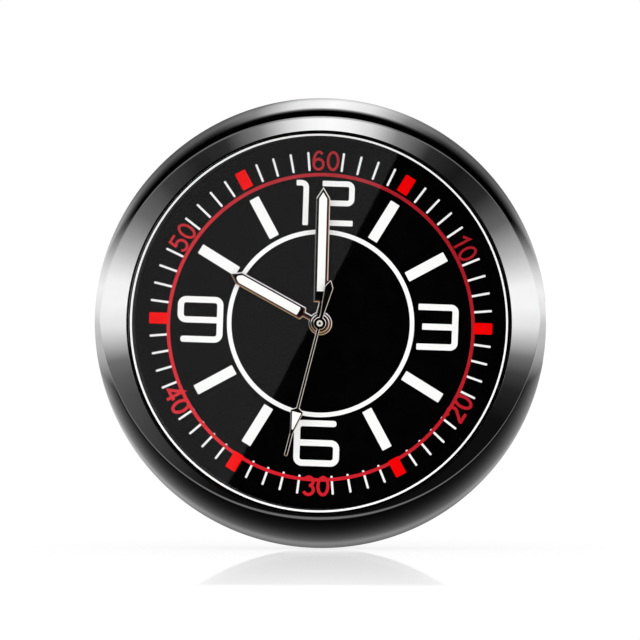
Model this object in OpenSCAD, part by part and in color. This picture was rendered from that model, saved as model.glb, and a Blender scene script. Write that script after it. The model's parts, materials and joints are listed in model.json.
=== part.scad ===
// Stick-on quartz clock for a car dashboard.
// Drawn lying on its back, front towards +z and twelve o'clock towards +y,
// then turned upright so that the dial faces -Y. Millimetres.

/* [Case] */
// Outer diameter of the chrome bezel
case_d = 40; // [38:0.5:44]
// Width of the bezel, from its rim to the hole for the crystal
bezel_w = 2.92; // [2.8:0.02:3.2]
// Width of the flat edge between the crystal hole and the facet
lip_w = 0.12; // [0.05:0.01:0.3]
// Height of that edge above the crystal
lip_rise = 0.15; // [0.05:0.05:0.4]
// Slope of the facet round the crystal, in degrees
facet_slope = 30; // [24:1:36]
// Rounding of the bezel's rim, given as the width of a bevel
rim_bevel = 0.2; // [0.05:0.05:0.3]
// Wall of the bezel round the collar
bezel_wall = 1.5; // [1.4:0.02:1.7]
// How far the barrel steps in behind the collar
barrel_step = 1.48; // [1.2:0.02:1.7]
// Wall of the barrel
barrel_w = 1.83; // [1.6:0.01:2]
// Length of the barrel, from its rear edge to the bezel
barrel_h = 3.6; // [3.2:0.1:5]
// Height of the collar inside the bezel
collar_h = 1.4; // [1:0.1:2]
// Bevel at the rear edge of the bezel
rear_bevel = 0.6; // [0.2:0.1:0.9]

/* [Crescent shoulders] */
// How far the axis of the upper shoulder lies below the centre
upper_offset = 0.76; // [0.6:0.02:0.9]
// Width of the upper shoulder at twelve o'clock
upper_w = 1.74; // [1.5:0.02:1.9]
// Slope of the upper shoulder where it starts, in degrees
upper_slope = 40; // [38:1:44]
// How far the axis of the lower shoulder lies above the centre
lower_offset = 1; // [0.8:0.02:1.2]
// Width of the lower shoulder at six o'clock
lower_w = 2.66; // [2.4:0.02:2.7]
// Slope of the lower shoulder where it starts, in degrees
lower_slope = 38; // [36:1:42]

/* [Crystal and dial] */
// Thickness of the crystal
crystal_t = 1.1; // [0.8:0.1:1.5]
// Wall of the black gasket round the crystal
gasket_w = 0.21; // [0.15:0.01:0.3]
// Step in the bezel that the crystal rests on
seat_step = 0.22; // [0.16:0.01:0.3]
// Wall of the white spacer ring
spacer_w = 0.27; // [0.2:0.01:0.6]
// Height of the spacer ring, the room for the hands
spacer_h = 2; // [1.9:0.1:2.6]
// Thickness of the dial
dial_t = 0.4; // [0.3:0.05:0.6]
// Diameter of the two feet under the dial
dial_foot_d = 0.7; // [0.5:0.05:0.8]
// Length of the dial feet
dial_foot_h = 0.9; // [0.6:0.1:1.2]

/* [Back] */
// Thickness of the adhesive foam pad
pad_t = 1; // [0.6:0.1:1.6]
// How far the adhesive pad stands in from the rim of the cover
pad_inset = 2.1; // [1:0.1:4]
// Thickness of the back cover
cover_t = 0.8; // [0.6:0.1:1.2]
// How far the rim of the back cover stands in from the barrel
cover_inset = 0.4; // [0.1:0.05:0.6]
// Bevel at the rear edges of the cover and the barrel
cover_bevel = 0.2; // [0.1:0.05:0.3]
// Height of the skirt that presses into the barrel
skirt_h = 1.5; // [1.2:0.1:1.8]
// Wall of the skirt
skirt_w = 0.7; // [0.5:0.1:1]
// Thickness of the flat gasket under the cover
cover_gasket_t = 0.2; // [0.15:0.05:0.4]
// Width of the pry notch in the rim of the cover
notch_w = 3; // [2:0.2:5]
// Depth of the pry notch
notch_depth = 0.4; // [0.3:0.05:0.5]
// How far the pry notch reaches in from the rim
notch_in = 0.8; // [0.5:0.05:0.9]

/* [Movement plates] */
// Diameter of the movement
movement_d = 22; // [21.6:0.1:23]
// Diameter of the main plate's flange on the dial side
plate_flange_d = 23.2; // [23.1:0.1:24]
// Thickness of the main plate's floor
plate_floor_t = 0.9; // [0.7:0.1:1.2]
// Wall of the main plate's rim
plate_rim_w = 1; // [0.8:0.1:1.2]
// Depth of the recess for the motion work, under the dial
motion_h = 0.8; // [0.8:0.05:1]
// Room for the going train between plate and bridge
train_h = 2; // [2:0.05:2.2]
// Thickness of the train bridge
bridge_t = 0.8; // [0.6:0.1:0.9]
// Wall left between the pockets of the plastic holder and its sides
pocket_wall = 0.8; // [0.6:0.05:1]
// Thickness of the holder's flange under the dial
holder_flange_t = 0.6; // [0.4:0.1:1]

/* [Wheels] */
// Leaves of every pinion in the train
pinion_teeth = 8; // [8:1:10]
// Teeth of the step wheel, driven by the rotor
step_teeth = 40; // [32:8:40]
// Teeth of the second wheel, driven by the step wheel
second_teeth = 48; // [40:8:48]
// Teeth of the third wheel, driven by the second pinion
third_teeth = 60; // [52:4:60]
// Teeth of the centre wheel, driven by the third pinion
centre_teeth = 64; // [56:4:64]
// Teeth of the minute wheel, driven by the cannon pinion
minute_teeth = 24; // [20:2:24]
// Teeth of the hour wheel, driven by the minute pinion
hour_teeth = 32; // [28:2:32]
// Teeth of the setting wheel
setting_teeth = 16; // [12:2:16]
// Distance from the centre to the third wheel
third_dist = 3.4; // [3.3:0.02:3.42]
// Distance from the centre to the step wheel
step_dist = 3.45; // [3.41:0.01:3.5]
// Distance from the step wheel to the rotor
rotor_dist = 2.4; // [2.36:0.02:2.42]
// Distance from the centre to the minute wheel
minute_dist = 2.4; // [2.36:0.02:2.5]
// Thickness of a wheel
wheel_t = 0.25; // [0.18:0.01:0.28]
// Diameter of a wheel's arbor
arbor_d = 0.44; // [0.36:0.02:0.5]
// Diameter of a pivot
pivot_d = 0.24; // [0.16:0.02:0.28]
// Depth of a pivot in its hole
pivot_h = 0.4; // [0.3:0.05:0.5]

/* [Hands] */
// Thickness of a hand
hand_t = 0.2; // [0.15:0.01:0.25]
// Gap between one hand and the next, and between dial and hour hand
hand_gap = 0.32; // [0.25:0.01:0.36]
// Minute hand: length from the centre to the tip
minute_len = 12.08; // [11:0.02:13]
// Minute hand: width
minute_w = 1.25; // [1.1:0.01:1.4]
// Minute hand: diameter of the boss
minute_boss_d = 1.76; // [1.5:0.02:1.9]
// Minute hand: start of the wide part
minute_shoulder = 1.9; // [1.6:0.05:2.2]
// Hour hand: length from the centre to the tip
hour_len = 9.11; // [8:0.01:10]
// Hour hand: width
hour_w = 1.2; // [1.1:0.01:1.4]
// Hour hand: diameter of the boss
hour_boss_d = 2.2; // [2:0.02:2.4]
// Hour hand: start of the wide part
hour_shoulder = 1.73; // [1.5:0.01:2.1]
// Width of the luminous inserts in the hour and minute hands
lume_w = 0.72; // [0.5:0.01:0.8]
// Second hand: length from the centre to the tip
second_len = 12.03; // [11:0.01:13]
// Second hand: diameter of the boss
second_boss_d = 1.04; // [0.8:0.02:1.2]
// Second hand: width of the needle
needle_w = 0.32; // [0.24:0.01:0.36]
// Second hand: start of the arrow
arrow_start = 7.86; // [7:0.01:8.2]
// Second hand: length of the arrow
arrow_len = 2; // [1.6:0.05:2.6]
// Second hand: width of the arrow
arrow_w = 1.16; // [1:0.01:1.4]
// Second hand: rim of the arrow round its luminous insert
arrow_rim = 0.12; // [0.08:0.01:0.16]
// Second hand: length of the tail
tail_len = 3.9; // [3:0.05:4.5]
// Second hand: width of the tail
tail_w = 0.77; // [0.5:0.01:0.9]
// Clockwise angle of the hour hand, in degrees
hour_angle = 299.5; // [0:0.5:359.5]
// Clockwise angle of the minute hand, in degrees
minute_angle = 1.2; // [0:0.1:359.9]
// Clockwise angle of the second hand, in degrees
second_angle = 194.6; // [0:0.1:359.9]

/* [Battery, motor and setting] */
// Diameter of the button cell, as a share of the movement's diameter
cell_share = 0.3091; // [0.28:0.0001:0.31]
// Height of the button cell
cell_h = 2.6; // [2.1:0.1:2.6]
// Distance from the edge of the movement in to the cell
cell_edge = 0.6; // [0.5:0.05:0.7]
// Thickness of the springs, the clamp and the circuit board
sheet_t = 0.2; // [0.15:0.01:0.25]
// Width of the clamp over the cell
strap_w = 1.6; // [1.4:0.05:2]
// Diameter of the spot on the cell's contact
contact_d = 1.8; // [1.4:0.1:2.4]
// Diameter of the coil winding
winding_d = 1.5; // [1.2:0.05:1.6]
// Length of the coil winding
winding_len = 7.4; // [6:0.1:7.6]
// Distance from the end of the winding to its screw
coil_end = 1; // [0.9:0.05:1.2]
// Distance from the edge of the movement in to the coil
coil_edge = 3.8; // [3.7:0.05:4]
// Thickness of the stator sheet
stator_t = 0.35; // [0.25:0.05:0.4]
// Width of the stator's legs
leg_w = 1.2; // [1:0.05:1.3]
// Diameter of the rotor magnet
magnet_d = 1.1; // [0.9:0.05:1.2]
// Diameter of the quartz can
can_d = 1.2; // [1:0.05:1.3]
// Length of the quartz can
can_len = 4.6; // [4:0.1:5]
// Diameter of the resin drop over the chip
chip_d = 1.7; // [1.4:0.1:1.9]
// Height of that drop
chip_h = 0.4; // [0.3:0.05:0.5]
// Diameter of the setting stem
stem_d = 0.7; // [0.6:0.02:0.8]
// Diameter of the crown
crown_d = 1.9; // [1.6:0.05:2]
// Length of the crown
crown_h = 2; // [1.6:0.1:2.1]
// How far the crown pulls out
crown_pull = 0.6; // [0.4:0.05:0.7]
// Diameter of the screw heads
screw_head_d = 1.2; // [1:0.05:1.3]
// How deep a bridge screw bites into the main plate
screw_bite = 1; // [0.6:0.1:1.2]

/* [Hidden] */
$fn = 96;
// Clearance between pieces that are pressed or laid together
fit = 0.02;
// Radial clearance of a shaft in its hole
run = 0.02;
// How far a cutting tool reaches past the face it cuts
cut = 0.5;
// Tooth form of all wheels
pressure_angle = 30;
addendum = 0.8;
dedendum = 1.1;
tooth_slack = 0.16;

// Room round a sunk piece, and between a wheel and the wall of its recess
room = 0.1;
wheel_room = 0.2;
// How far a shoulder's dome reaches past the rim of the bezel
dome_over = 0.05;
// How far the cover's gasket stands in from the rim of the cover
gasket_inset = 0.8;
// Hands: length of a tip and width of a neck as shares of the blade's width
tip_share = 0.65;
neck_share = 0.4;
// Distance from the start of a blade to its insert, as a share of the blade's width
foot_share = 0.6;
// Distance from the tip of a blade to the tip of its insert
lume_margin = 0.4;
// Second hand's tail: where its bar ends and where its leaf is widest, as shares of its length
tail_bar_share = 0.4;
leaf_share = 0.82;

// Levels from the adhesive face to the front
z_cover = pad_t;
z_cover_in = z_cover + cover_t;
z_barrel = z_cover_in + cover_gasket_t;
z_collar = z_barrel + barrel_h;
z_case_top = z_collar + collar_h;
z_dial = z_case_top + holder_flange_t;
z_dial_top = z_dial + dial_t;
z_crystal = z_dial_top + spacer_h;
z_crystal_top = z_crystal + crystal_t;
z_lip = z_crystal_top + lip_rise;
z_holder = z_cover_in + skirt_h;
z_floor_top = z_dial - motion_h;
z_floor = z_floor_top - plate_floor_t;
z_bridge_top = z_floor - train_h;
z_bridge = z_bridge_top - bridge_t;

// Levels of the going train and the motion work
shake = 0.05;
pipe_foot_h = 0.6;
centre_gap = 0.25;
third_gap = 0.2;
motion_gap = 0.08;
motion_wheel_t = 0.2;
z_pipe_foot = z_floor - pipe_foot_h;
z_centre_wheel = z_pipe_foot + shake;
z_third_wheel = z_centre_wheel - centre_gap - wheel_t;
z_second_wheel = z_third_wheel - third_gap - wheel_t;
z_minute_wheel = z_floor_top + motion_gap;
z_minute_pinion = z_minute_wheel + motion_wheel_t;
z_hour_wheel = z_minute_pinion + motion_gap;
z_hour_hand = z_dial_top + hand_gap;
z_minute_hand = z_hour_hand + hand_t + hand_gap;
z_second_hand = z_minute_hand + hand_t + hand_gap;

// Radii
case_r = case_d / 2;
seat_r = case_r - bezel_w;
bore_r = seat_r - seat_step;
lip_r = seat_r + lip_w;
collar_r = case_r - bezel_wall - fit;
barrel_r = collar_r - barrel_step;
holder_r = barrel_r - barrel_w - fit;
cover_r = barrel_r - cover_inset;
pad_r = cover_r - pad_inset;
movement_r = movement_d / 2;
flange_r = plate_flange_d / 2;
arbor_r = arbor_d / 2;
pivot_r = pivot_d / 2;
cell_r = movement_r * cell_share;
stem_r = stem_d / 2;
second_staff_r = 0.1;
pipe_bore_r = second_staff_r + run;
pipe_r = 0.26;
cannon_bore_r = pipe_r + run;
cannon_r = 0.42;
hour_bore_r = cannon_r + run;
hour_tube_r = 0.65;

// Places of the arbors and the fixed pieces, as bearings anticlockwise from three o'clock
third_bearing = 30;
step_bearing = 150;
rotor_bearing = 165;
minute_bearing = -15;
setting_bearing = 5;
cell_bearing = 240;
foot_bearing = 75;
foot_edge = 1.1;
foot_dist = movement_r - foot_edge;
function polar(r, a) = r * [cos(a), sin(a)];
third_at = polar(third_dist, third_bearing);
step_at = polar(step_dist, step_bearing);
rotor_at = step_at + polar(rotor_dist, rotor_bearing);
minute_at = polar(minute_dist, minute_bearing);
setting_mod = 2 * minute_dist / (pinion_teeth + minute_teeth);
setting_at = minute_at + polar(setting_mod * (minute_teeth + setting_teeth) / 2, setting_bearing);
cell_at = polar(movement_r - cell_edge - cell_r, cell_bearing);
crown_gap = 0.15;
stem_z = z_collar - crown_d / 2 - crown_gap;
foot_at = [polar(foot_dist, foot_bearing), polar(foot_dist, foot_bearing + 180)];

// Angle, in degrees, between a flank's start on the base circle and a point on it
function involute(a) = tan(a) * 180 / PI - a;
// Half the angle that a tooth fills at a radius, given as a share of the pitch radius
function tooth_half(teeth, share) =
    90 / teeth * (1 - tooth_slack) + involute(pressure_angle)
    - involute(acos(min(1, cos(pressure_angle) / share)));
function tooth_corner(teeth, mod, rise, side, i) =
    let (r = teeth * mod / 2 + rise * mod)
    let (share = max(r / (teeth * mod / 2), cos(pressure_angle)))
    polar(r, 360 * i / teeth + side * tooth_half(teeth, share));
function gear_outline(teeth, mod) = [
    for (i = [0 : teeth - 1])
        for (corner = [[-dedendum, -1], [addendum, -1], [addendum, 1], [-dedendum, 1]])
            tooth_corner(teeth, mod, corner[0], corner[1], i)
];
// Radius of the recess round a wheel
function wheel_reach(teeth, mod) = mod * (teeth / 2 + 1) + wheel_room;
// Module of two wheels that mesh over a distance
function pair_mod(dist, teeth_a, teeth_b) = 2 * dist / (teeth_a + teeth_b);
// Turn of wheel b that sets its teeth in the gaps of wheel a
function mesh_turn(turn_a, teeth_a, bearing, teeth_b) =
    bearing + 180 - (0.5 - (bearing - turn_a) * teeth_a / 360) * 360 / teeth_b;

third_mod = pair_mod(third_dist, pinion_teeth, third_teeth);
centre_mod = pair_mod(third_dist, pinion_teeth, centre_teeth);
second_mod = pair_mod(step_dist, pinion_teeth, second_teeth);
step_mod = pair_mod(rotor_dist, pinion_teeth, step_teeth);
minute_mod = pair_mod(minute_dist, pinion_teeth, minute_teeth);
hour_mod = pair_mod(minute_dist, pinion_teeth, hour_teeth);
third_turn = mesh_turn(0, pinion_teeth, third_bearing, third_teeth);
centre_turn = mesh_turn(third_turn, pinion_teeth, third_bearing + 180, centre_teeth);
step_turn = mesh_turn(0, second_teeth, step_bearing, pinion_teeth);
rotor_turn = mesh_turn(step_turn, step_teeth, rotor_bearing, pinion_teeth);
minute_turn = mesh_turn(0, pinion_teeth, minute_bearing, minute_teeth);
hour_turn = mesh_turn(minute_turn, pinion_teeth, minute_bearing + 180, hour_teeth);
setting_turn = mesh_turn(minute_turn, minute_teeth, setting_bearing, setting_teeth);

// Height of the facet at a radius
function facet_z(r) = z_lip - (r - lip_r) * tan(facet_slope);

// Shared shapes
module upright() {
    rotate([90, 0, 0]) children();
}

module disc(r, z0, z1, at = [0, 0]) {
    translate([at[0], at[1], z0]) cylinder(r = r, h = z1 - z0);
}

// Disc with a bevel at its rear edge
module bevelled_disc(r, z0, z1) {
    translate([0, 0, z0]) cylinder(r1 = r - cover_bevel, r2 = r, h = cover_bevel);
    disc(r, z0 + cover_bevel, z1);
}

module ring(outer_r, inner_r, z0, z1, at = [0, 0]) {
    difference() {
        disc(outer_r, z0, z1, at);
        disc(inner_r, z0 - cut, z1 + cut, at);
    }
}

module slab(z0, z1) {
    translate([0, 0, z0]) linear_extrude(z1 - z0) children();
}

module gear(teeth, mod, turn, z0, z1, at = [0, 0]) {
    translate([at[0], at[1], 0]) rotate([0, 0, turn])
        slab(z0, z1) polygon(gear_outline(teeth, mod));
}

// Round bar along +x at the height of the setting stem
module stem_bar(r, x0, x1) {
    translate([x0, 0, stem_z]) rotate([0, 90, 0]) cylinder(r = r, h = x1 - x0);
}

// Arbor between plate and bridge, with a pivot at each end
module arbor(at) {
    disc(arbor_r, z_bridge_top + shake, z_floor - shake, at);
    disc(pivot_r, z_bridge_top - pivot_h, z_floor + pivot_h, at);
}

module pivot_holes() {
    for (at = [third_at, step_at, rotor_at])
        disc(pivot_r + run, z_bridge_top - pivot_h - shake, z_floor + pivot_h + shake, at);
}

module screw(at, seat_z, depth) {
    disc(screw_head_d / 2, seat_z - 2 * sheet_t, seat_z, at);
    disc(screw_head_d / 4, seat_z - sheet_t, seat_z + depth, at);
}

module screw_hole(at, seat_z, depth) {
    disc(screw_head_d / 4 + fit, seat_z - cut, seat_z + depth + fit, at);
}

// Case

// Dome on an axis beside the centre: outside it the facet gives way to a rounded shoulder
module shoulder_dome(shift, start_r, slope) {
    off = abs(shift);
    arc_r = (case_r + dome_over - start_r) / (1 - sin(slope));
    arc_c = start_r + off - arc_r * sin(slope);
    arc_z = facet_z(start_r) - arc_r * cos(slope);
    translate([0, shift, 0]) {
        disc(arc_c, 0, z_lip + cut);
        disc(arc_c + arc_r, 0, arc_z);
        rotate_extrude() translate([arc_c, arc_z]) circle(arc_r);
    }
}

module bezel() {
    color("silver") upright() difference() {
        intersection() {
            rotate_extrude() polygon([
                [0, z_collar], [case_r - rear_bevel, z_collar], [case_r, z_collar + rear_bevel],
                [case_r, facet_z(case_r) - rim_bevel], [case_r - rim_bevel, facet_z(case_r - rim_bevel)],
                [lip_r, z_lip], [0, z_lip]
            ]);
            shoulder_dome(-upper_offset, case_r - upper_w, upper_slope);
            shoulder_dome(lower_offset, case_r - lower_w, lower_slope);
        }
        disc(bore_r, 0, z_lip + cut);
        disc(seat_r, z_crystal, z_lip + cut);
        disc(collar_r + fit, 0, z_case_top);
    }
}

module case_body() {
    color("gainsboro") upright() difference() {
        union() {
            bevelled_disc(barrel_r, z_barrel, z_collar + fit);
            disc(collar_r, z_collar, z_case_top);
        }
        disc(holder_r + fit, 0, z_case_top + cut);
        stem_bar(stem_r + run, holder_r - cut, case_r);
    }
}

module crystal() {
    color("lightblue", 0.4) upright() disc(seat_r - gasket_w, z_crystal, z_crystal_top);
}

module crystal_gasket() {
    color("black") upright() ring(seat_r - fit / 2, seat_r - gasket_w + fit / 2, z_crystal, z_crystal_top);
}

module spacer_ring() {
    color("white") upright() ring(bore_r - fit, bore_r - fit - spacer_w, z_dial_top, z_crystal);
}

module dial() {
    color("black") upright() {
        ring(bore_r - fit, hour_tube_r + wheel_room, z_dial, z_dial_top);
        for (at = foot_at) disc(dial_foot_d / 2, z_dial - dial_foot_h, z_dial + dial_t / 2, at);
    }
}

module movement_holder() {
    color("dimgray") upright() difference() {
        union() {
            disc(holder_r, z_holder, z_dial);
            disc(bore_r - fit, z_case_top, z_dial);
        }
        disc(movement_r + fit, 0, z_dial + cut);
        disc(flange_r + fit, z_floor_top, z_dial + cut);
        stem_bar(stem_r + run, movement_r - cut, case_r);
        // Pockets that keep the moulded wall even
        pocket_angle = 40;
        pocket_in = movement_r + pocket_wall;
        pocket_w = holder_r - pocket_wall - pocket_in;
        for (a = [30 : 60 : 330])
            rotate([0, 0, a - pocket_angle / 2]) translate([0, 0, z_holder - cut])
                rotate_extrude(angle = pocket_angle) translate([pocket_in, 0])
                    square([pocket_w, cut + z_floor - z_holder]);
    }
}

module back_cover() {
    color("silver") upright() difference() {
        union() {
            bevelled_disc(cover_r, z_cover, z_cover_in);
            ring(holder_r - fit, holder_r - fit - skirt_w, z_cover_in - cover_t / 2, z_holder);
        }
        translate([-notch_w / 2, -cover_r - cut, z_cover_in - notch_depth])
            cube([notch_w, cut + notch_in, notch_depth + cut]);
    }
}

module cover_gasket() {
    color("black") upright() ring(cover_r - gasket_inset, holder_r + fit, z_cover_in, z_barrel);
}

module adhesive_pad() {
    color("dimgray") upright() disc(pad_r, 0, z_cover);
}

// Hands, drawn pointing to twelve o'clock

module at_angle(angle) {
    upright() rotate([0, 0, -angle]) children();
}

module blade(half_w, start, tip, len) {
    polygon([[-half_w, start], [half_w, start], [half_w, len - tip], [0, len], [-half_w, len - tip]]);
}

// Window for the luminous insert, with the same margin all round the blade
module lume_window(width, shoulder, len) {
    blade(lume_w / 2, shoulder + width * foot_share, lume_w * tip_share, len - lume_margin);
}

module baton(width, shoulder, len, boss_r, hole_r, z0) {
    difference() {
        slab(z0, z0 + hand_t) {
            blade(width / 2, shoulder, width * tip_share, len);
            translate([-width * neck_share / 2, 0]) square([width * neck_share, shoulder + fit]);
            circle(boss_r);
        }
        disc(hole_r, z0 - cut, z0 + hand_t + cut);
        slab(z0 - cut, z0 + hand_t + cut) lume_window(width, shoulder, len);
    }
}

module hour_hand() {
    color("black") at_angle(hour_angle)
        baton(hour_w, hour_shoulder, hour_len, hour_boss_d / 2, hour_tube_r, z_hour_hand);
}

module hour_hand_lume() {
    color("white") at_angle(hour_angle)
        slab(z_hour_hand, z_hour_hand + hand_t) lume_window(hour_w, hour_shoulder, hour_len);
}

module minute_hand() {
    color("black") at_angle(minute_angle)
        baton(minute_w, minute_shoulder, minute_len, minute_boss_d / 2, cannon_r, z_minute_hand);
}

module minute_hand_lume() {
    color("white") at_angle(minute_angle)
        slab(z_minute_hand, z_minute_hand + hand_t) lume_window(minute_w, minute_shoulder, minute_len);
}

// Arrow that narrows outwards into the needle
module arrow(inset) {
    half_w = arrow_w / 2 - inset * 1.5;
    polygon([
        [-half_w, arrow_start + inset], [half_w, arrow_start + inset],
        [needle_w / 4, arrow_start + arrow_len - inset], [-needle_w / 4, arrow_start + arrow_len - inset]
    ]);
}

module second_hand() {
    color("black") at_angle(second_angle) difference() {
        slab(z_second_hand, z_second_hand + hand_t) {
            translate([-needle_w / 2, -tail_len * tail_bar_share])
                square([needle_w, tail_len * tail_bar_share + second_len]);
            arrow(0);
            polygon([
                [needle_w / 2, 0], [-needle_w / 2, 0], [-tail_w / 2, -tail_len * leaf_share],
                [0, -tail_len], [tail_w / 2, -tail_len * leaf_share]
            ]);
            circle(second_boss_d / 2);
        }
        disc(second_staff_r, 0, z_second_hand + hand_t + cut);
        slab(z_second_hand - cut, z_second_hand + hand_t + cut) arrow(arrow_rim);
    }
}

module second_hand_lume() {
    color("white") at_angle(second_angle)
        slab(z_second_hand, z_second_hand + hand_t) arrow(arrow_rim);
}

// Movement plates

module main_plate() {
    yoke_room = 0.3;
    stem_block_l = 4.4;
    stem_block_w = 2.8;
    color("goldenrod") upright() difference() {
        union() {
            disc(movement_r, z_floor, z_dial);
            disc(flange_r, z_floor_top, z_dial);
            ring(movement_r, movement_r - plate_rim_w, z_bridge_top, z_floor + fit);
            intersection() {
                disc(movement_r, z_bridge_top, z_floor + fit);
                translate([movement_r - stem_block_l, -stem_block_w / 2, z_bridge_top])
                    cube([stem_block_l, stem_block_w, train_h]);
            }
        }
        // Recess for the motion work, with posts for its two wheels
        difference() {
            union() {
                disc(minute_dist + wheel_reach(minute_teeth, minute_mod), z_floor_top, z_dial + cut);
                disc(wheel_reach(setting_teeth, setting_mod), z_floor_top, z_dial + cut, setting_at);
            }
            disc(arbor_r, z_floor, z_dial - shake, minute_at);
            disc(arbor_r, z_floor, z_dial - shake, setting_at);
        }
        disc(cannon_bore_r, 0, z_dial + cut);
        pivot_holes();
        disc(cell_r + room, 0, z_floor, cell_at);
        // Room for the third wheel beside the block that carries the stem
        disc(wheel_reach(third_teeth, third_mod), z_bridge_top - cut, z_floor, third_at);
        for (at = foot_at) disc(dial_foot_d / 2 + fit, z_dial - dial_foot_h - fit, z_dial + cut, at);
        for (at = bridge_screw_at) screw_hole(at, z_bridge, bridge_t + screw_bite);
        stem_bar(stem_r + run, movement_r - stem_in - shake, movement_r + cut);
        // Pocket in which the setting yoke slides
        pocket_half = yoke_half + wheel_room;
        translate([yoke_x - yoke_room, -pocket_half, z_bridge_top - cut])
            cube([yoke_w + crown_pull + 2 * yoke_room, 2 * pocket_half, cut + train_h - wheel_room]);
    }
}

bridge_screw_bearings = [45, 165, 315];
bridge_screw_at = [for (a = bridge_screw_bearings) polar(movement_r - plate_rim_w / 2, a)];
coil_side = 0.2;
coil_at = [coil_side, movement_r - coil_edge];
coil_half = winding_len / 2;
stator_screw_at = [for (side = [-1, 1]) coil_at + [side * (coil_half + coil_end), 0]];
z_cell_top = z_bridge + cell_h;
cell_step_h = 0.4;
cell_step_w = 0.5;
strap_over = 1.1;
strap_half = cell_r + strap_over;
strap_turn = cell_bearing + 90;
clamp_screw_at = [for (side = [-1, 1]) cell_at + polar(side * strap_half, strap_turn)];
can_bearing = 318;
can_edge = 3.6;
can_at = polar(movement_r - can_edge, can_bearing);
can_lift = 0.1;
z_can = z_bridge - sheet_t / 2 - can_lift;

module quartz_bar(r, extra) {
    translate([can_at[0], can_at[1], z_can]) rotate([0, 0, can_bearing + 90]) rotate([0, 90, 0])
        cylinder(r = r, h = can_len + 2 * extra, center = true);
}

module train_bridge() {
    color("goldenrod") upright() difference() {
        disc(movement_r, z_bridge, z_bridge_top);
        disc(cell_r + room, 0, z_floor, cell_at);
        disc(pivot_r + run, z_bridge_top - pivot_h - shake, z_floor);
        pivot_holes();
        // Window under the coil
        translate([coil_at[0] - coil_half - room, coil_at[1] - winding_d / 2 - room, z_bridge - cut])
            cube([winding_len + 2 * room, winding_d + 2 * room, bridge_t + 2 * cut]);
        quartz_bar(can_d / 2 + fit, fit);
        for (at = bridge_screw_at) screw_hole(at, z_bridge, bridge_t + cut);
        for (at = clamp_screw_at) screw_hole(at, z_bridge - sheet_t, bridge_t);
        for (at = stator_screw_at) screw_hole(at, z_bridge, bridge_t + cut);
    }
}

module bridge_screws() {
    color("silver") upright() for (at = bridge_screw_at) screw(at, z_bridge, bridge_t + screw_bite);
}

// Stepping motor

z_core = z_bridge_top + stator_t;
core_t = 0.3;
core_w = 0.7;
pole_r = 1.4;
magnet_gap = 0.2;

module rotor() {
    color("darkgray") upright() {
        arbor(rotor_at);
        disc(magnet_d / 2, z_bridge_top + shake, z_core, rotor_at);
        gear(pinion_teeth, step_mod, rotor_turn, z_third_wheel - shake,
             z_third_wheel + wheel_t + shake, rotor_at);
    }
}

// Flat yoke of iron: two legs from the rotor to the ends of the coil
module stator() {
    left_x = stator_screw_at[0][0] - leg_w / 2;
    right_x = stator_screw_at[1][0] - leg_w / 2;
    top_y = coil_at[1] + leg_w / 2;
    arm_y = rotor_at[1] + pole_r + room;
    color("slategray") upright() difference() {
        slab(z_bridge_top, z_core) {
            translate(rotor_at) circle(pole_r);
            translate([left_x, rotor_at[1]]) square([leg_w, top_y - rotor_at[1]]);
            translate([rotor_at[0], arm_y]) square([right_x + leg_w - rotor_at[0], leg_w]);
            translate([right_x, arm_y]) square([leg_w, top_y - arm_y]);
            translate([rotor_at[0] - leg_w / 2, rotor_at[1]]) square([leg_w, arm_y + leg_w - rotor_at[1]]);
        }
        disc(magnet_d / 2 + magnet_gap, 0, z_core + cut, rotor_at);
        for (at = stator_screw_at) screw_hole(at, z_bridge, bridge_t + stator_t + cut);
    }
}

module stator_screws() {
    color("silver") upright() for (at = stator_screw_at) screw(at, z_bridge, z_core + core_t - z_bridge);
}

module coil_core() {
    color("gray") upright() difference() {
        slab(z_core, z_core + core_t) {
            translate([stator_screw_at[0][0], coil_at[1] - core_w / 2])
                square([stator_screw_at[1][0] - stator_screw_at[0][0], core_w]);
            for (at = stator_screw_at) translate(at) circle(leg_w / 2);
        }
        for (at = stator_screw_at) screw_hole(at, z_bridge, z_core + core_t + cut - z_bridge);
    }
}

module coil_winding() {
    color("peru") upright() difference() {
        translate([coil_at[0], coil_at[1], z_core + core_t / 2]) rotate([0, 90, 0])
            cylinder(d = winding_d, h = winding_len, center = true);
        translate([coil_at[0] - winding_len, coil_at[1] - core_w / 2, z_core])
            cube([2 * winding_len, core_w, core_t]);
    }
}

// Going train

module step_wheel() {
    color("gold") upright() {
        arbor(step_at);
        gear(step_teeth, step_mod, step_turn, z_third_wheel, z_third_wheel + wheel_t, step_at);
        gear(pinion_teeth, second_mod, step_turn, z_second_wheel - shake,
             z_second_wheel + wheel_t + shake, step_at);
    }
}

module second_wheel() {
    color("gold") upright() {
        disc(pivot_r, z_bridge_top - pivot_h, z_second_wheel);
        disc(arbor_r, z_bridge_top + shake, z_third_wheel);
        disc(second_staff_r, z_third_wheel, z_second_hand + hand_t);
        gear(second_teeth, second_mod, 0, z_second_wheel, z_second_wheel + wheel_t);
        gear(pinion_teeth, third_mod, 0, z_third_wheel - shake, z_third_wheel + wheel_t + shake);
    }
}

module third_wheel() {
    color("gold") upright() {
        arbor(third_at);
        gear(third_teeth, third_mod, third_turn, z_third_wheel, z_third_wheel + wheel_t, third_at);
        gear(pinion_teeth, centre_mod, third_turn, z_third_wheel, z_centre_wheel + wheel_t + shake, third_at);
    }
}

// The pipe of the centre wheel drives the cannon pinion by friction
module centre_wheel() {
    color("gold") upright() difference() {
        union() {
            gear(centre_teeth, centre_mod, centre_turn, z_centre_wheel, z_centre_wheel + wheel_t);
            disc(2 * pipe_r, z_pipe_foot, z_floor - shake);
            disc(pipe_r, z_pipe_foot, z_minute_hand);
        }
        disc(pipe_bore_r, 0, z_second_hand);
    }
}

// Motion work

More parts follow.
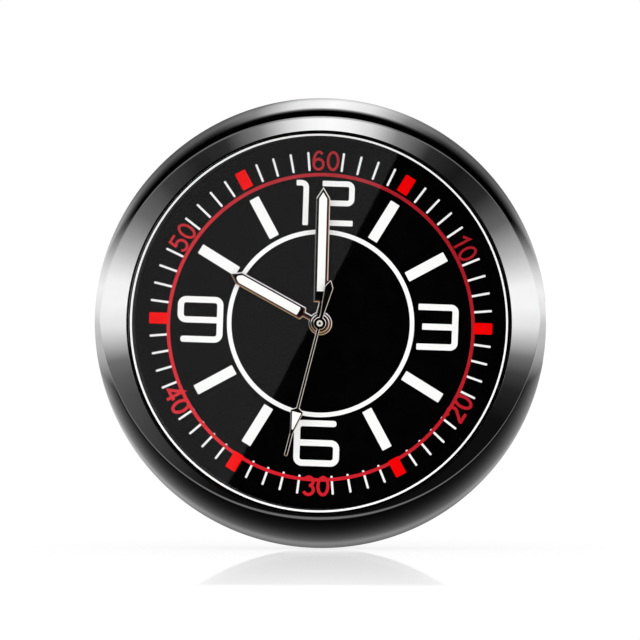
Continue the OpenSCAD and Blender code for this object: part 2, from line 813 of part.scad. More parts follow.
module cannon_pinion() {
    color("gold") upright() difference() {
        union() {
            gear(pinion_teeth, minute_mod, 0, z_floor_top + shake, z_minute_pinion);
            disc(cannon_r, z_floor_top + shake, z_minute_hand + hand_t);
        }
        disc(cannon_bore_r, 0, z_second_hand);
    }
}

module minute_wheel() {
    color("gold") upright() difference() {
        union() {
            gear(minute_teeth, minute_mod, minute_turn, z_minute_wheel, z_minute_pinion, minute_at);
            gear(pinion_teeth, hour_mod, minute_turn, z_minute_pinion - fit,
                 z_hour_wheel + wheel_t + shake, minute_at);
        }
        disc(arbor_r + run, 0, z_dial, minute_at);
    }
}

module hour_wheel() {
    color("gold") upright() difference() {
        union() {
            gear(hour_teeth, hour_mod, hour_turn, z_hour_wheel, z_hour_wheel + wheel_t);
            disc(hour_tube_r, z_hour_wheel, z_hour_hand + hand_t);
        }
        disc(hour_bore_r, 0, z_second_hand);
    }
}

module setting_wheel() {
    color("gold") upright() difference() {
        gear(setting_teeth, setting_mod, setting_turn, z_minute_wheel, z_minute_pinion, setting_at);
        disc(arbor_r + run, 0, z_dial, setting_at);
    }
}

module dial_washer() {
    washer_w = 0.85;
    color("silver") upright()
        ring(hour_tube_r + room + washer_w, hour_tube_r + room, z_hour_wheel + wheel_t + shake, z_dial);
}

// Circuit and battery

board_bearing = 287;
board_angle = 58;
board_in = 6.4;
board_in_r = movement_r - board_in;
board_edge = 1.8;
chip_bearing = 300;
chip_at = polar(board_in_r + chip_d / 2 + 1.5 * room, chip_bearing);

module circuit_board() {
    color("darkgreen") upright() difference() {
        translate([0, 0, z_bridge - sheet_t]) rotate([0, 0, board_bearing])
            rotate_extrude(angle = board_angle) translate([board_in_r, 0])
                square([movement_r - board_edge - board_in_r, sheet_t]);
        quartz_bar(can_d / 2 + fit, fit);
    }
}

module quartz_can() {
    color("silver") upright() quartz_bar(can_d / 2, 0);
}

module chip() {
    taper = 0.25;
    color("black") upright() translate([chip_at[0], chip_at[1], z_bridge - sheet_t - chip_h])
        cylinder(r1 = chip_d / 2 - taper, r2 = chip_d / 2, h = chip_h);
}

module battery() {
    color("silver") upright() {
        disc(cell_r, z_bridge, z_cell_top - cell_step_h, cell_at);
        disc(cell_r - cell_step_w, z_bridge, z_cell_top, cell_at);
    }
}

module battery_contact() {
    tongue_w = 1;
    color("gold") upright() slab(z_cell_top, z_floor) translate(cell_at) {
        circle(contact_d / 2);
        rotate([0, 0, cell_bearing]) translate([-cell_r, -tongue_w / 2]) square([cell_r + sheet_t, tongue_w]);
    }
}

module battery_clamp() {
    color("silver") upright() difference() {
        slab(z_bridge - sheet_t, z_bridge) translate(cell_at) rotate([0, 0, strap_turn]) {
            translate([-strap_half, -strap_w / 2]) square([2 * strap_half, strap_w]);
            for (side = [-1, 1]) translate([side * strap_half, 0]) circle(strap_w / 2);
        }
        for (at = clamp_screw_at) screw_hole(at, z_bridge - sheet_t, bridge_t);
    }
}

module clamp_screws() {
    color("silver") upright() for (at = clamp_screw_at) screw(at, z_bridge - sheet_t, bridge_t);
}

// Hand setting

stem_in = 3.9;
groove_in = 2.8;
yoke_x = movement_r - groove_in;
yoke_w = 0.28;
yoke_half = 0.8;
yoke_rise = 0.3;
crown_off = 0.25;
crown_x = barrel_r + crown_off;

module setting_stem() {
    color("silver") upright() difference() {
        stem_bar(stem_r, movement_r - stem_in, crown_x + crown_h / 2);
        difference() {
            stem_bar(stem_r + cut, yoke_x - run, yoke_x + yoke_w + run);
            stem_bar(stem_r / 2, yoke_x - cut, yoke_x + yoke_w + cut);
        }
    }
}

module crown() {
    flute_r = 0.12;
    flute_step = 20;
    flute_end = 0.3;
    color("silver") upright() difference() {
        stem_bar(crown_d / 2, crown_x, crown_x + crown_h);
        stem_bar(stem_r, crown_x - cut, crown_x + crown_h / 2);
        for (a = [0 : flute_step : 360 - flute_step])
            translate([crown_x - cut, 0, stem_z]) rotate([a, 0, 0]) translate([0, 0, crown_d / 2])
                rotate([0, 90, 0]) cylinder(r = flute_r, h = crown_h + cut - flute_end);
    }
}

// Fork in the groove of the stem
module setting_yoke() {
    fork_r = stem_r / 2 + run;
    color("silver") upright() difference() {
        translate([yoke_x, -yoke_half, z_bridge_top + shake])
            cube([yoke_w, 2 * yoke_half, stem_z - z_bridge_top + yoke_rise]);
        stem_bar(fork_r, yoke_x - cut, yoke_x + yoke_w + cut);
        translate([yoke_x - cut, -fork_r, stem_z]) cube([yoke_w + 2 * cut, 2 * fork_r, cut]);
    }
}

bezel();
case_body();
crystal();
crystal_gasket();
spacer_ring();
dial();
movement_holder();
back_cover();
cover_gasket();
adhesive_pad();
hour_hand();
hour_hand_lume();
minute_hand();
minute_hand_lume();
second_hand();
second_hand_lume();
main_plate();
train_bridge();
bridge_screws();
rotor();
stator();
stator_screws();
coil_core();
coil_winding();
step_wheel();
second_wheel();
third_wheel();
centre_wheel();
cannon_pinion();
minute_wheel();
hour_wheel();
setting_wheel();
dial_washer();
circuit_board();
quartz_can();
chip();
battery();
battery_contact();
battery_clamp();
clamp_screws();
setting_stem();
crown();
setting_yoke();
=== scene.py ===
# %% [markdown]
# # Stick-on quartz clock for a car dashboard
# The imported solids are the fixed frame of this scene. They give the place and size of every piece, and
# the looks are built round them: a mirror-chrome bezel, flat glass, a black dial with printed marks and
# three luminous hands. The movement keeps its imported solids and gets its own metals, plastics and enamel.

# %% Load the frame
import json
import math

import bmesh
import bpy
from mathutils import Matrix, Vector


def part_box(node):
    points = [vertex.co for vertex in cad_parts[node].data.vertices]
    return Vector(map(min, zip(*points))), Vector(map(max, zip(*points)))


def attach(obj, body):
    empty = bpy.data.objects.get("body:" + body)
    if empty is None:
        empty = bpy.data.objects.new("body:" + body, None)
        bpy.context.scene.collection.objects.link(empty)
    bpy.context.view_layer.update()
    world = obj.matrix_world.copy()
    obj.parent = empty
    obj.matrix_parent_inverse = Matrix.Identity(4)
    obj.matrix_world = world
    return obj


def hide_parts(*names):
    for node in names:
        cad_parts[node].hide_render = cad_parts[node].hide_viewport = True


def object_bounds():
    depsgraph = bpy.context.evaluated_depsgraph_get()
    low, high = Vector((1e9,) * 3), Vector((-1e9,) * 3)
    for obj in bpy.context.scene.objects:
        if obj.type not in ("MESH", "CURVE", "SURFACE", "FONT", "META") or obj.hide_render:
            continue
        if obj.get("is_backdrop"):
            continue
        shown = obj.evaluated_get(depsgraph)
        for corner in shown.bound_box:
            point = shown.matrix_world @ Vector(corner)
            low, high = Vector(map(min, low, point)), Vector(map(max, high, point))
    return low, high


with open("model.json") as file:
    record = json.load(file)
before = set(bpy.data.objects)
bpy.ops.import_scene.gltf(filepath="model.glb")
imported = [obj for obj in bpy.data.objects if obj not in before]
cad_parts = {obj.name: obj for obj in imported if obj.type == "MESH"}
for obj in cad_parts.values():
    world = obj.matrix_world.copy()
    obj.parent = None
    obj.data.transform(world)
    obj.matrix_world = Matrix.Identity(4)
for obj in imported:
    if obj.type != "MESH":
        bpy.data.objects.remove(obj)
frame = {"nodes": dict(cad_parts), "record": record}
cad_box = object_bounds()
nodes = frame["nodes"]
scene = bpy.context.scene
scene.view_settings.view_transform = "Standard"
MM = 0.001
print(len(nodes), "solids; the box in mm is", [round(v / MM, 2) for v in cad_box[1] - cad_box[0]])

# %% [markdown]
# ## Sizes
# Sizes are millimetres. A place on the clock is a radius, an angle clockwise from twelve o'clock and a
# depth from the adhesive face towards the viewer. The dial faces -Y, so a depth becomes a negative y.
# Radii and depths could be typed in again, but reading them from the solids keeps every new piece on what
# carries it.

# %% Sizes from the solids


def extent(node):
    """Outer radius, rear depth and front depth of a round solid, in mm."""
    low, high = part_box(node)
    return high.x / MM, -high.y / MM, -low.y / MM


case_r, bezel_rear, lip_depth = extent("bezel")
crystal_r, crystal_rear, crystal_front = extent("crystal")
gasket_r, _, _ = extent("crystal_gasket")
_, dial_front, _ = extent("spacer_ring")
print("case radius", round(case_r, 2), "dial front", round(dial_front, 2), "glass", round(crystal_front, 2))

# %% [markdown]
# ## Making round pieces
# Most of this clock is turned on a lathe, and so are its meshes: a short outline in the plane of the axis
# is spun into a ring. A cylinder with bevels would do for a disc, but an outline shows every step of a
# section.

# %% Lathe
TURN_STEPS = 192
AXIS = (0, 1, 0)


def place(r, clock_angle, depth):
    """Point at a radius, an angle clockwise from twelve and a depth."""
    turn = math.radians(clock_angle)
    return Vector((r * math.sin(turn), -depth, r * math.cos(turn))) * MM


def close_outline(bm, points):
    """Join points given as (radius, depth) into a closed outline under twelve o'clock."""
    verts = [bm.verts.new(place(r, 0, depth)) for r, depth in points]
    return verts, [bm.edges.new(pair) for pair in zip(verts, verts[1:] + verts[:1])]


def spin_round(bm, geometry, steps):
    """Spin an outline once round the axis of the clock."""
    bmesh.ops.spin(bm, geom=geometry, cent=(0, 0, 0), axis=AXIS, angle=math.tau, steps=steps,
                   use_merge=True)


def lathe(bm, points, steps=TURN_STEPS):
    """Ring or disc from a closed outline of (radius, depth) points."""
    verts, edges = close_outline(bm, points)
    spin_round(bm, verts + edges, steps)


print("a full turn has", TURN_STEPS, "steps")

# %% [markdown]
# ## From mesh to piece
# Every new piece goes through one function. It merges doubles, points the faces outwards and keeps hard
# edges hard. Then it says which body the piece rides on and which finish it has, and hides the solids it
# stands for. Doing this in one place means that no piece can miss a step.

# %% Finish a piece
HARD_EDGE = math.radians(28)
DOUBLE = 0.001


def finish_piece(name, bm, material, body, slot, *replaced):
    """Make a finished mesh a piece of the clock."""
    bmesh.ops.remove_doubles(bm, verts=bm.verts, dist=DOUBLE / 2 * MM)
    bmesh.ops.recalc_face_normals(bm, faces=bm.faces)
    for face in bm.faces:
        face.smooth = True
    for edge in bm.edges:
        edge.smooth = edge.calc_face_angle(0) < HARD_EDGE
    mesh = bpy.data.meshes.new(name)
    bm.to_mesh(mesh)
    bm.free()
    mesh.materials.append(material)
    piece = bpy.data.objects.new(name, mesh)
    scene.collection.objects.link(piece)
    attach(piece, body)
    if replaced:
        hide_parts(*replaced)
    print(name, len(mesh.polygons), "faces on", body)
    return piece


print("edges are hard from", round(math.degrees(HARD_EDGE)), "degrees")

# %% [markdown]
# ## Building materials
# A material is a small graph of nodes. It could be wired by hand in the editor; here one helper adds a
# node, sets its sockets and links what feeds it, so that each material reads as a short list. Patterns
# use Object coordinates, which stay on the piece when it moves.

# %% Adding nodes


def add_node(tree, kind, inputs=(), **settings):
    """Add a node; inputs maps a socket to a value or to the output that feeds it."""
    made = tree.nodes.new(kind)
    for key, value in settings.items():
        setattr(made, key, value)
    for socket, value in dict(inputs).items():
        if isinstance(value, bpy.types.NodeSocket):
            tree.links.new(value, made.inputs[socket])
        else:
            made.inputs[socket].default_value = value
    return made


def math_node(tree, operation, first, second=0.0, clamp=False):
    """Sum, product or other function of one or two values."""
    made = add_node(tree, "ShaderNodeMath", {0: first, 1: second}, operation=operation, use_clamp=clamp)
    return made.outputs[0]


def ramp_node(tree, factor, stops):
    """Colour ramp with (place, colour) or (place, grey level) stops."""
    made = add_node(tree, "ShaderNodeValToRGB", {0: factor})
    elements = made.color_ramp.elements
    while len(elements) < len(stops):
        elements.new(0.5)
    for element, (spot, level) in zip(elements, stops):
        element.position = spot
        element.color = (*level, 1) if isinstance(level, tuple) else (level, level, level, 1)
    return made.outputs[0]


print("node helpers ready")

# %% [markdown]
# Mixing comes up in every material, so two short helpers blend values and colours. A third starts a new
# material and returns what all of them need: the tree, the Principled shader and the Object coordinates.

# %% Mixing, and starting a material
WHITE = (1, 1, 1, 1)


def blend(tree, factor, first, second):
    """Value between two values."""
    return add_node(tree, "ShaderNodeMix", {0: factor, 2: first, 3: second}, data_type="FLOAT").outputs[0]


def blend_colours(tree, factor, first, second):
    """Colour between two colours."""
    return add_node(tree, "ShaderNodeMix", {0: factor, 6: first, 7: second}, data_type="RGBA").outputs[2]


def start_material(name):
    """New material: its node tree, its Principled shader and its Object coordinates."""
    material = bpy.data.materials.new(name)
    material.use_nodes = True
    tree = material.node_tree
    spot = add_node(tree, "ShaderNodeTexCoord").outputs["Object"]
    return material, tree, tree.nodes["Principled BSDF"], spot


print("material helpers ready")

# %% [markdown]
# ## Camera
# The clock is seen almost straight from the front, from a little to its right, with a long lens. A camera
# could be placed by eye, but here the lens follows from how many millimetres of the clock's plane fit
# across the square frame, so the clock keeps its size in the picture when the camera moves.

# %% Camera
FRAME_WIDTH = 56.72
CAMERA_DISTANCE = 600.0
CAMERA_TURN = math.radians(2.8)
RIM_DEPTH = 8.5
CLOCK_SIDE = 0.03
CLOCK_DROP = 0.30
NEAR_CLIP = 10.0

camera_data = bpy.data.cameras.new("front_camera")
camera_data.lens = camera_data.sensor_width * CAMERA_DISTANCE / FRAME_WIDTH
camera_data.clip_start = NEAR_CLIP * MM
camera = bpy.data.objects.new("front_camera", camera_data)
aim = Vector((-CLOCK_SIDE, -RIM_DEPTH, CLOCK_DROP))
back_off = Vector((math.sin(CAMERA_TURN), -math.cos(CAMERA_TURN), 0)) * CAMERA_DISTANCE
camera.location = (aim + back_off) * MM
camera.rotation_euler = (math.pi / 2, 0, CAMERA_TURN)
scene.collection.objects.link(camera)
scene.camera = camera
print("lens", round(camera_data.lens), "mm")

# %% [markdown]
# ## Studio
# Chrome has no colour of its own: it shows the room. A studio hangs a white tent with dark flags round
# such a clock, and lamps and cards could copy that. Here the world itself is the tent, because each
# direction can then have its own brightness. A direction has two angles: how far it turns away from the
# viewer's side (0 at the viewer, 180 behind the clock), and where it lies round the dial (0 above, 90 at
# the side, 180 below).

# %% Angles of a direction
HALF_TURN = 180.0

world = bpy.data.worlds.new("studio")
world.use_nodes = True
scene.world = world
sky = world.node_tree
sky.nodes.clear()
direction = add_node(sky, "ShaderNodeTexCoord").outputs["Generated"]
axes = add_node(sky, "ShaderNodeSeparateXYZ", {0: direction}).outputs
side = math_node(sky, "ABSOLUTE", axes[0])
around = math_node(sky, "DIVIDE", math_node(sky, "ARCTAN2", side, axes[2]), math.pi)
towards = math_node(sky, "MULTIPLY", axes[1], -1.0)
away = math_node(sky, "DIVIDE", math_node(sky, "ARCCOSINE", towards), math.pi)


def by_degrees(angle, stops):
    """Brightness that follows an angle; the stops are (degrees, level)."""
    return ramp_node(sky, angle, [(degrees / HALF_TURN, level) for degrees, level in stops])


def rises(angle, low, high):
    """Mask that rises smoothly from 0 to 1 between two angles in degrees."""
    made = add_node(sky, "ShaderNodeMapRange", {0: angle, 1: low / HALF_TURN, 2: high / HALF_TURN},
                    interpolation_type="SMOOTHSTEP")
    return made.outputs[0]


print("directions have two angles, each up to", HALF_TURN, "degrees")

# %% [markdown]
# The facet round the glass mirrors the front half of the tent. Its light follows the angle round the
# dial: white at the top and the sides, dark between them and below. The thin crease behind the facet
# mirrors a narrow band with the same light, only weaker. A colour ramp holds such a course of light
# better than a row of lamps.

# %% Light for the facet and the crease
FACET_LIGHT = [(0, 1.0), (6, 0.93), (12, 0.70), (20, 0.22), (30, 0.026), (40, 0.009), (50, 0.022),
               (60, 0.13), (70, 0.48), (79, 0.93), (85, 0.95), (91, 0.80), (100, 0.16), (105, 0.05),
               (110, 0.018), (120, 0.005), (180, 0.004)]
SIDE_START = (58, 76)
SIDE_END = (94, 112)
CREASE_SHARE = 0.55
CREASE_SIDE_SHARE = 0.97
CREASE_LEAST = 0.15

facet_light = by_degrees(around, FACET_LIGHT)
at_side = math_node(sky, "SUBTRACT", rises(around, *SIDE_START), rises(around, *SIDE_END))
crease_share = blend(sky, at_side, CREASE_SHARE, CREASE_SIDE_SHARE)
crease_light = math_node(sky, "MULTIPLY", facet_light, crease_share)
crease_light = math_node(sky, "MAXIMUM", crease_light, CREASE_LEAST)
print("the facet has", len(FACET_LIGHT), "steps of light")

# %% [markdown]
# The two shoulders lean outwards and mirror what lies beside and behind the clock. Their light has a
# course of its own round the dial, and gates dim it towards the crease, as flags do: one at twelve
# o'clock, one beside it and one for the lower half. The sides stay open, so the tips of the crescents are
# bright.

# %% Light for the shoulders
REAR_LIGHT = [(0, 1.0), (10, 0.80), (15, 0.5), (20, 0.24), (30, 0.12), (45, 0.10), (55, 0.16), (65, 0.36),
              (70, 0.50), (80, 0.90), (88, 0.70), (96, 0.52), (106, 0.70), (115, 0.62), (130, 0.38),
              (150, 0.25), (180, 0.23)]
TOP_GATE = [(99, 0.0), (103, 0.09), (107, 0.6), (110, 0.98), (114, 1.0)]
UPPER_GATE = [(102, 0.0), (107, 0.06), (114, 0.3), (120, 0.6), (127, 1.0)]
LOWER_GATE = [(84, 0.01), (96, 0.03), (103, 0.06), (110, 0.12), (118, 0.23), (127, 0.42), (138, 1.0)]
TOP_END = (16, 32)
LOWER_START = (84, 102)
RIM_START = (136, 160)
RIM_SHARE = 0.65
BACKDROP_START = (165, 173)

upper_gate = blend(sky, rises(around, *TOP_END), by_degrees(away, TOP_GATE), by_degrees(away, UPPER_GATE))
gate = blend(sky, rises(around, *LOWER_START), upper_gate, by_degrees(away, LOWER_GATE))
gate = math_node(sky, "MAXIMUM", gate, at_side)
rim_share = blend(sky, rises(away, *RIM_START), 1.0, RIM_SHARE)
rear = math_node(sky, "MULTIPLY", by_degrees(around, REAR_LIGHT), gate)
rear = math_node(sky, "MULTIPLY", rear, rim_share)
rear = blend(sky, rises(away, *BACKDROP_START), rear, 1.0)
print("the shoulders have", len(REAR_LIGHT), "steps of light")

# %% [markdown]
# What the dial and the hands mirror leaves through the glass, so its rays count as transmission rays, and
# only those rays meet two more cards. A grey one stands in front on the left. Its straight edge is the
# slanting line of glare on the lacquer. The other is a ring of warm and cool tones that the chamfers of
# the hands pick up.

# %% Cards for the dial and the hands
GLARE_LEVEL = 0.33
GLARE_TILT = math.radians(27.2)
GLARE_SIDE = -0.00095
CARD_LIGHT = [(-180, (0.42, 0.33, 0.20)), (-150, (0.40, 0.30, 0.19)), (-90, (0.16, 0.16, 0.165)),
              (-83, (0.19, 0.19, 0.19)), (-75, (0.72, 0.70, 0.67)), (-45, (0.80, 0.80, 0.82)),
              (0, (0.95, 0.95, 0.98)), (30, (0.92, 0.92, 1.0)), (60, (0.86, 0.83, 0.80)),
              (92, (0.75, 0.62, 0.56)), (104, (0.64, 0.58, 0.53)), (150, (0.48, 0.38, 0.23)),
              (180, (0.42, 0.33, 0.20))]
CARD_EDGE = [(-180, (0.11, 0.03, 0.02)), (-130, (0.11, 0.03, 0.02)), (-105, (0.004, 0.003, 0.003)),
             (60, (0.004, 0.003, 0.003)), (85, (0.10, 0.035, 0.028)), (180, (0.11, 0.03, 0.02))]
CARD_INNER = (14, 18)
EDGE_END = (28, 34)
CARD_OUTER = (48, 53)

paths = add_node(sky, "ShaderNodeLightPath").outputs
through_glass = paths["Is Transmission Ray"]
across = math_node(sky, "MULTIPLY", axes[0], math.cos(GLARE_TILT))
along = math_node(sky, "MULTIPLY", axes[2], math.sin(GLARE_TILT))
glare_line = GLARE_SIDE - math.sin(CAMERA_TURN) * math.cos(GLARE_TILT)
lit_side = math_node(sky, "LESS_THAN", math_node(sky, "SUBTRACT", across, along), glare_line)
glare = math_node(sky, "MULTIPLY", math_node(sky, "MULTIPLY", lit_side, GLARE_LEVEL), through_glass)
card_turn = math_node(sky, "DIVIDE", math_node(sky, "ARCTAN2", axes[0], axes[2]), math.tau)
card_turn = math_node(sky, "ADD", card_turn, 0.5)


def card_ramp(stops):
    """Colour of the ring-shaped card; the stops are (degrees from twelve o'clock, colour)."""
    places = [((HALF_TURN + degrees) / (2 * HALF_TURN), colour) for degrees, colour in stops]
    return ramp_node(sky, card_turn, places)


card = blend_colours(sky, rises(away, *EDGE_END), card_ramp(CARD_EDGE), card_ramp(CARD_LIGHT))
on_card = math_node(sky, "SUBTRACT", rises(away, *CARD_INNER), rises(away, *CARD_OUTER))
on_card = math_node(sky, "MULTIPLY", on_card, through_glass)
print("the card for the hands has", len(CARD_LIGHT), "tones")

# %% [markdown]
# Last, the parts of the tent are joined. Matt surfaces get one even light, so their colours come out
# about as written, and the camera itself sees plain white behind the clock. Light Path tells these rays
# apart.

# %% The tent put together
EVEN_LIGHT = 1.36
FRONT_END = (14, 40)
CREASE_START = (63, 66)
CREASE_END = (72, 77)

room = blend(sky, rises(away, *CREASE_START), facet_light, crease_light)
room = blend(sky, rises(away, *CREASE_END), room, rear)
room = blend(sky, rises(away, *FRONT_END), glare, room)
room = blend(sky, on_card, room, 1.0)
mirrored = math_node(sky, "MAXIMUM", paths["Is Glossy Ray"], through_glass)
level = blend(sky, mirrored, EVEN_LIGHT, room)
level = blend(sky, paths["Is Camera Ray"], level, 1.0)
hue = blend_colours(sky, math_node(sky, "MULTIPLY", on_card, mirrored), WHITE, card)
tent = add_node(sky, "ShaderNodeBackground", {"Color": hue, "Strength": level})
add_node(sky, "ShaderNodeOutputWorld", {"Surface": tent.outputs[0]})
print("tent of", len(sky.nodes), "nodes with an even light of", EVEN_LIGHT)

# %% [markdown]
# ## Floor
# The clock stands on a white board with a weak gloss, which gives the pale reflection under the case. A
# plain white plane would show a dark shadow, so most of the board's white is emitted, and the shadow
# stays weak. The gloss fades with the distance from the clock. The board is part of the stage, not of the
# clock.

# %% White board
FLOOR_PAINT = (0.80, 0.80, 0.80, 1)
FLOOR_GLOW = 0.84
FLOOR_POLISH = 0.03
FADE_LENGTH = 100.0
FLOOR_GLOSS = [(0.0, 0.0), (0.12, 0.06), (0.19, 0.27), (0.28, 0.31), (0.55, 0.25), (0.88, 0.15),
               (0.92, 0.0)]

floor_material, tree, shader, spot = start_material("white_board")
tree.nodes.remove(shader)
paint = add_node(tree, "ShaderNodeBsdfDiffuse", {"Color": FLOOR_PAINT})
glow = add_node(tree, "ShaderNodeEmission", {"Color": WHITE})
matt = add_node(tree, "ShaderNodeMixShader", {0: FLOOR_GLOW, 1: paint.outputs[0], 2: glow.outputs[0]})
gloss = add_node(tree, "ShaderNodeBsdfGlossy", {"Color": WHITE, "Roughness": FLOOR_POLISH})
depth_there = add_node(tree, "ShaderNodeSeparateXYZ", {0: spot}).outputs[1]
fade = ramp_node(tree, math_node(tree, "MULTIPLY", depth_there, -1 / (FADE_LENGTH * MM)), FLOOR_GLOSS)
board = add_node(tree, "ShaderNodeMixShader", {0: fade, 1: matt.outputs[0], 2: gloss.outputs[0]})
tree.links.new(board.outputs[0], tree.nodes["Material Output"].inputs["Surface"])
print("finish:", floor_material.name)

# %% [markdown]
# The board itself is a plain grid at the lowest point of the clock. The chrome and the glass don't see
# it, because the tent already holds all that they mirror.

# %% Floor
FLOOR_SIZE = 4000.0

bm = bmesh.new()
bmesh.ops.create_grid(bm, x_segments=1, y_segments=1, size=FLOOR_SIZE / 2 * MM,
                      matrix=Matrix.Translation((0, 0, cad_box[0].z)))
floor_mesh = bpy.data.meshes.new("floor")
bm.to_mesh(floor_mesh)
bm.free()
floor_mesh.materials.append(floor_material)
floor = bpy.data.objects.new("floor", floor_mesh)
scene.collection.objects.link(floor)
floor.visible_glossy = False
floor.visible_transmission = False
floor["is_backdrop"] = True
print("floor at z", round(cad_box[0].z / MM, 2), "mm")

# %% [markdown]
# ## Shared surface effects
# Real metal and plastic are never perfectly even. Two node groups give that unevenness, so that every
# material can use it with its own values: one puts out a value that drifts over the surface, and one puts
# out the fine rings that a lathe or a turning brush leaves round the axis. An image could do it too, but
# has to be unwrapped.

# %% Node groups
NOISE_LOW = 0.3
NOISE_HIGH = 0.7


def start_group(name, scale):
    """New shader node group with a vector, a scale and a range as inputs and one value as its output."""
    group = bpy.data.node_groups.new(name, "ShaderNodeTree")
    group.interface.new_socket("Vector", in_out="INPUT", socket_type="NodeSocketVector")
    for socket, value in (("Scale", scale), ("Low", 0.2), ("High", 0.4)):
        made = group.interface.new_socket(socket, in_out="INPUT", socket_type="NodeSocketFloat")
        made.default_value = value
    group.interface.new_socket("Value", in_out="OUTPUT", socket_type="NodeSocketFloat")
    return group, add_node(group, "NodeGroupInput").outputs


def end_group(group, entry, noise):
    """Spread a noise over the range from Low to High and put it out."""
    spread = {0: noise.outputs[0], 1: NOISE_LOW, 2: NOISE_HIGH, 3: entry["Low"], 4: entry["High"]}
    add_node(group, "NodeGroupOutput", {0: add_node(group, "ShaderNodeMapRange", spread).outputs[0]})


drift_group, entry = start_group("drift", scale=900.0)
cloud = {"Vector": entry["Vector"], "Scale": entry["Scale"], "Detail": 4.0, "Roughness": 0.6}
end_group(drift_group, entry, add_node(drift_group, "ShaderNodeTexNoise", cloud))

rings_group, entry = start_group("turned_rings", scale=9000.0)
parts = add_node(rings_group, "ShaderNodeSeparateXYZ", {0: entry["Vector"]}).outputs
flat = add_node(rings_group, "ShaderNodeCombineXYZ", {0: parts[0], 2: parts[2]}).outputs[0]
reach = add_node(rings_group, "ShaderNodeVectorMath", {0: flat}, operation="LENGTH").outputs["Value"]
grooves = {"W": reach, "Scale": entry["Scale"], "Detail": 3.0}
end_group(rings_group, entry, add_node(rings_group, "ShaderNodeTexNoise", grooves, noise_dimensions="1D"))
print("groups:", drift_group.name, rings_group.name)

# %% [markdown]
# A material uses these groups for its tone, for its roughness and for the height of a bump. They could be
# linked anew each time, but a small function for each use keeps the materials below short.

# %% Helpers for finishes


def effect(tree, group, vector, scale, low=0.0, high=1.0):
    """Place a group in a material and return its value."""
    made = add_node(tree, "ShaderNodeGroup", {}, node_tree=group)
    tree.links.new(vector, made.inputs["Vector"])
    for socket, value in (("Scale", scale), ("Low", low), ("High", high)):
        made.inputs[socket].default_value = value
    return made.outputs[0]


def tint(tree, shader, value, dark, light):
    """Base colour that goes from dark to light with a value."""
    tree.links.new(blend_colours(tree, value, (*dark, 1), (*light, 1)), shader.inputs["Base Color"])


def roughen(tree, shader, spot, scale, low, high, marks=drift_group):
    """Roughness that varies between two values."""
    tree.links.new(effect(tree, marks, spot, scale, low, high), shader.inputs["Roughness"])


def bump(tree, shader, height, strength, distance):
    """Raise the surface by a height value; distance is in millimetres."""
    relief = {"Height": height, "Strength": strength, "Distance": distance * MM}
    tree.links.new(add_node(tree, "ShaderNodeBump", relief).outputs[0], shader.inputs["Normal"])


print("finish helpers ready")

# %% [markdown]
# ## Shape of the chrome bezel
# The bezel is one polished ring. A cone runs round the glass, and two rounded shoulders cut into it: each
# is a dome whose axis lies a little beside the centre, so its edge on the cone is a crescent that is
# widest at twelve or at six and fades out at the sides. A boolean of cone and domes would give the same
# shape with a sharp edge. Here each point gets the height of the lowest of the three, and a smooth
# minimum leaves the thin rounded line that a polishing wheel leaves there.

# %% Heights of the bezel
LIP_W = 0.012
OVERHANG = 0.05
CREASE_BLEND = 0.042
FACET_SLOPE = math.radians(30)
RIM_ROUND = 0.3
DOME_OVER = 0.05
SEAT_GAP = 0.01
UPPER = {"shift": -0.6, "width": 1.74, "slope": math.radians(40)}
LOWER = {"shift": 1.0, "width": 2.76, "slope": math.radians(38)}
seat_r = gasket_r + SEAT_GAP
lip_in = seat_r - OVERHANG
lip_r = lip_in + LIP_W
rim_turn_r = case_r - RIM_ROUND * (1 - math.sin(FACET_SLOPE))


def cone_depth(r):
    """Height of the cone at a radius."""
    return lip_depth - (r - lip_r) * math.tan(FACET_SLOPE)


def facet_depth(r):
    """The cone, rounded off at the rim."""
    if r < rim_turn_r:
        return cone_depth(r)
    centre = cone_depth(rim_turn_r) - RIM_ROUND * math.cos(FACET_SLOPE)
    return centre + math.sqrt(max(0.0, RIM_ROUND ** 2 - (r - case_r + RIM_ROUND) ** 2))


def dome_depth(r, turn, dome):
    """Height of one dome at a radius and a turn from twelve o'clock."""
    start = case_r - dome["width"]
    arc_r = (case_r + DOME_OVER - start) / (1 - math.sin(dome["slope"]))
    arc_c = start + abs(dome["shift"]) - arc_r * math.sin(dome["slope"])
    arc_depth = cone_depth(start) - arc_r * math.cos(dome["slope"])
    reach = math.hypot(r * math.sin(turn), r * math.cos(turn) - dome["shift"])
    return arc_depth + math.sqrt(max(0.0, arc_r ** 2 - max(0.0, reach - arc_c) ** 2))


def shoulder_depth(r, turn):
    """The lower of the two domes."""
    return min(dome_depth(r, turn, UPPER), dome_depth(r, turn, LOWER))


def bezel_depth(r, turn):
    """The lower of facet and shoulders, with the crease between them rounded."""
    facet = facet_depth(r)
    shoulder = shoulder_depth(r, turn)
    share = min(1.0, max(0.0, 0.5 + 0.5 * (shoulder - facet) / CREASE_BLEND))
    return shoulder + (facet - shoulder) * share - CREASE_BLEND * share * (1 - share)


print("lip and rim lie at", round(bezel_depth(lip_r, 0), 2), "and", round(bezel_depth(case_r, 0), 2))

# %% [markdown]
# A mesh shows a crease well only where its rows of vertices follow it. The crease has no simple formula,
# so its radius is found by halving, and the rows are gathered on both sides of it. Even rows would need
# to be very many to show the same line.

# %% Rows of the bezel
HALVINGS = 40
FACET_ROWS = 6
CREASE_ROWS = 8
SHOULDER_ROWS = 22
CREASE_REACH = 0.2
ROW_GAP = 0.004
ROW_CROWDING = 1.6
last_row = FACET_ROWS + CREASE_ROWS + SHOULDER_ROWS


def crease_radius(turn):
    """Where the shoulders start to cut into the cone."""
    low, high = lip_r, case_r
    for _ in range(HALVINGS):
        middle = (low + high) / 2
        low, high = (middle, high) if shoulder_depth(middle, turn) > cone_depth(middle) else (low, middle)
    return low


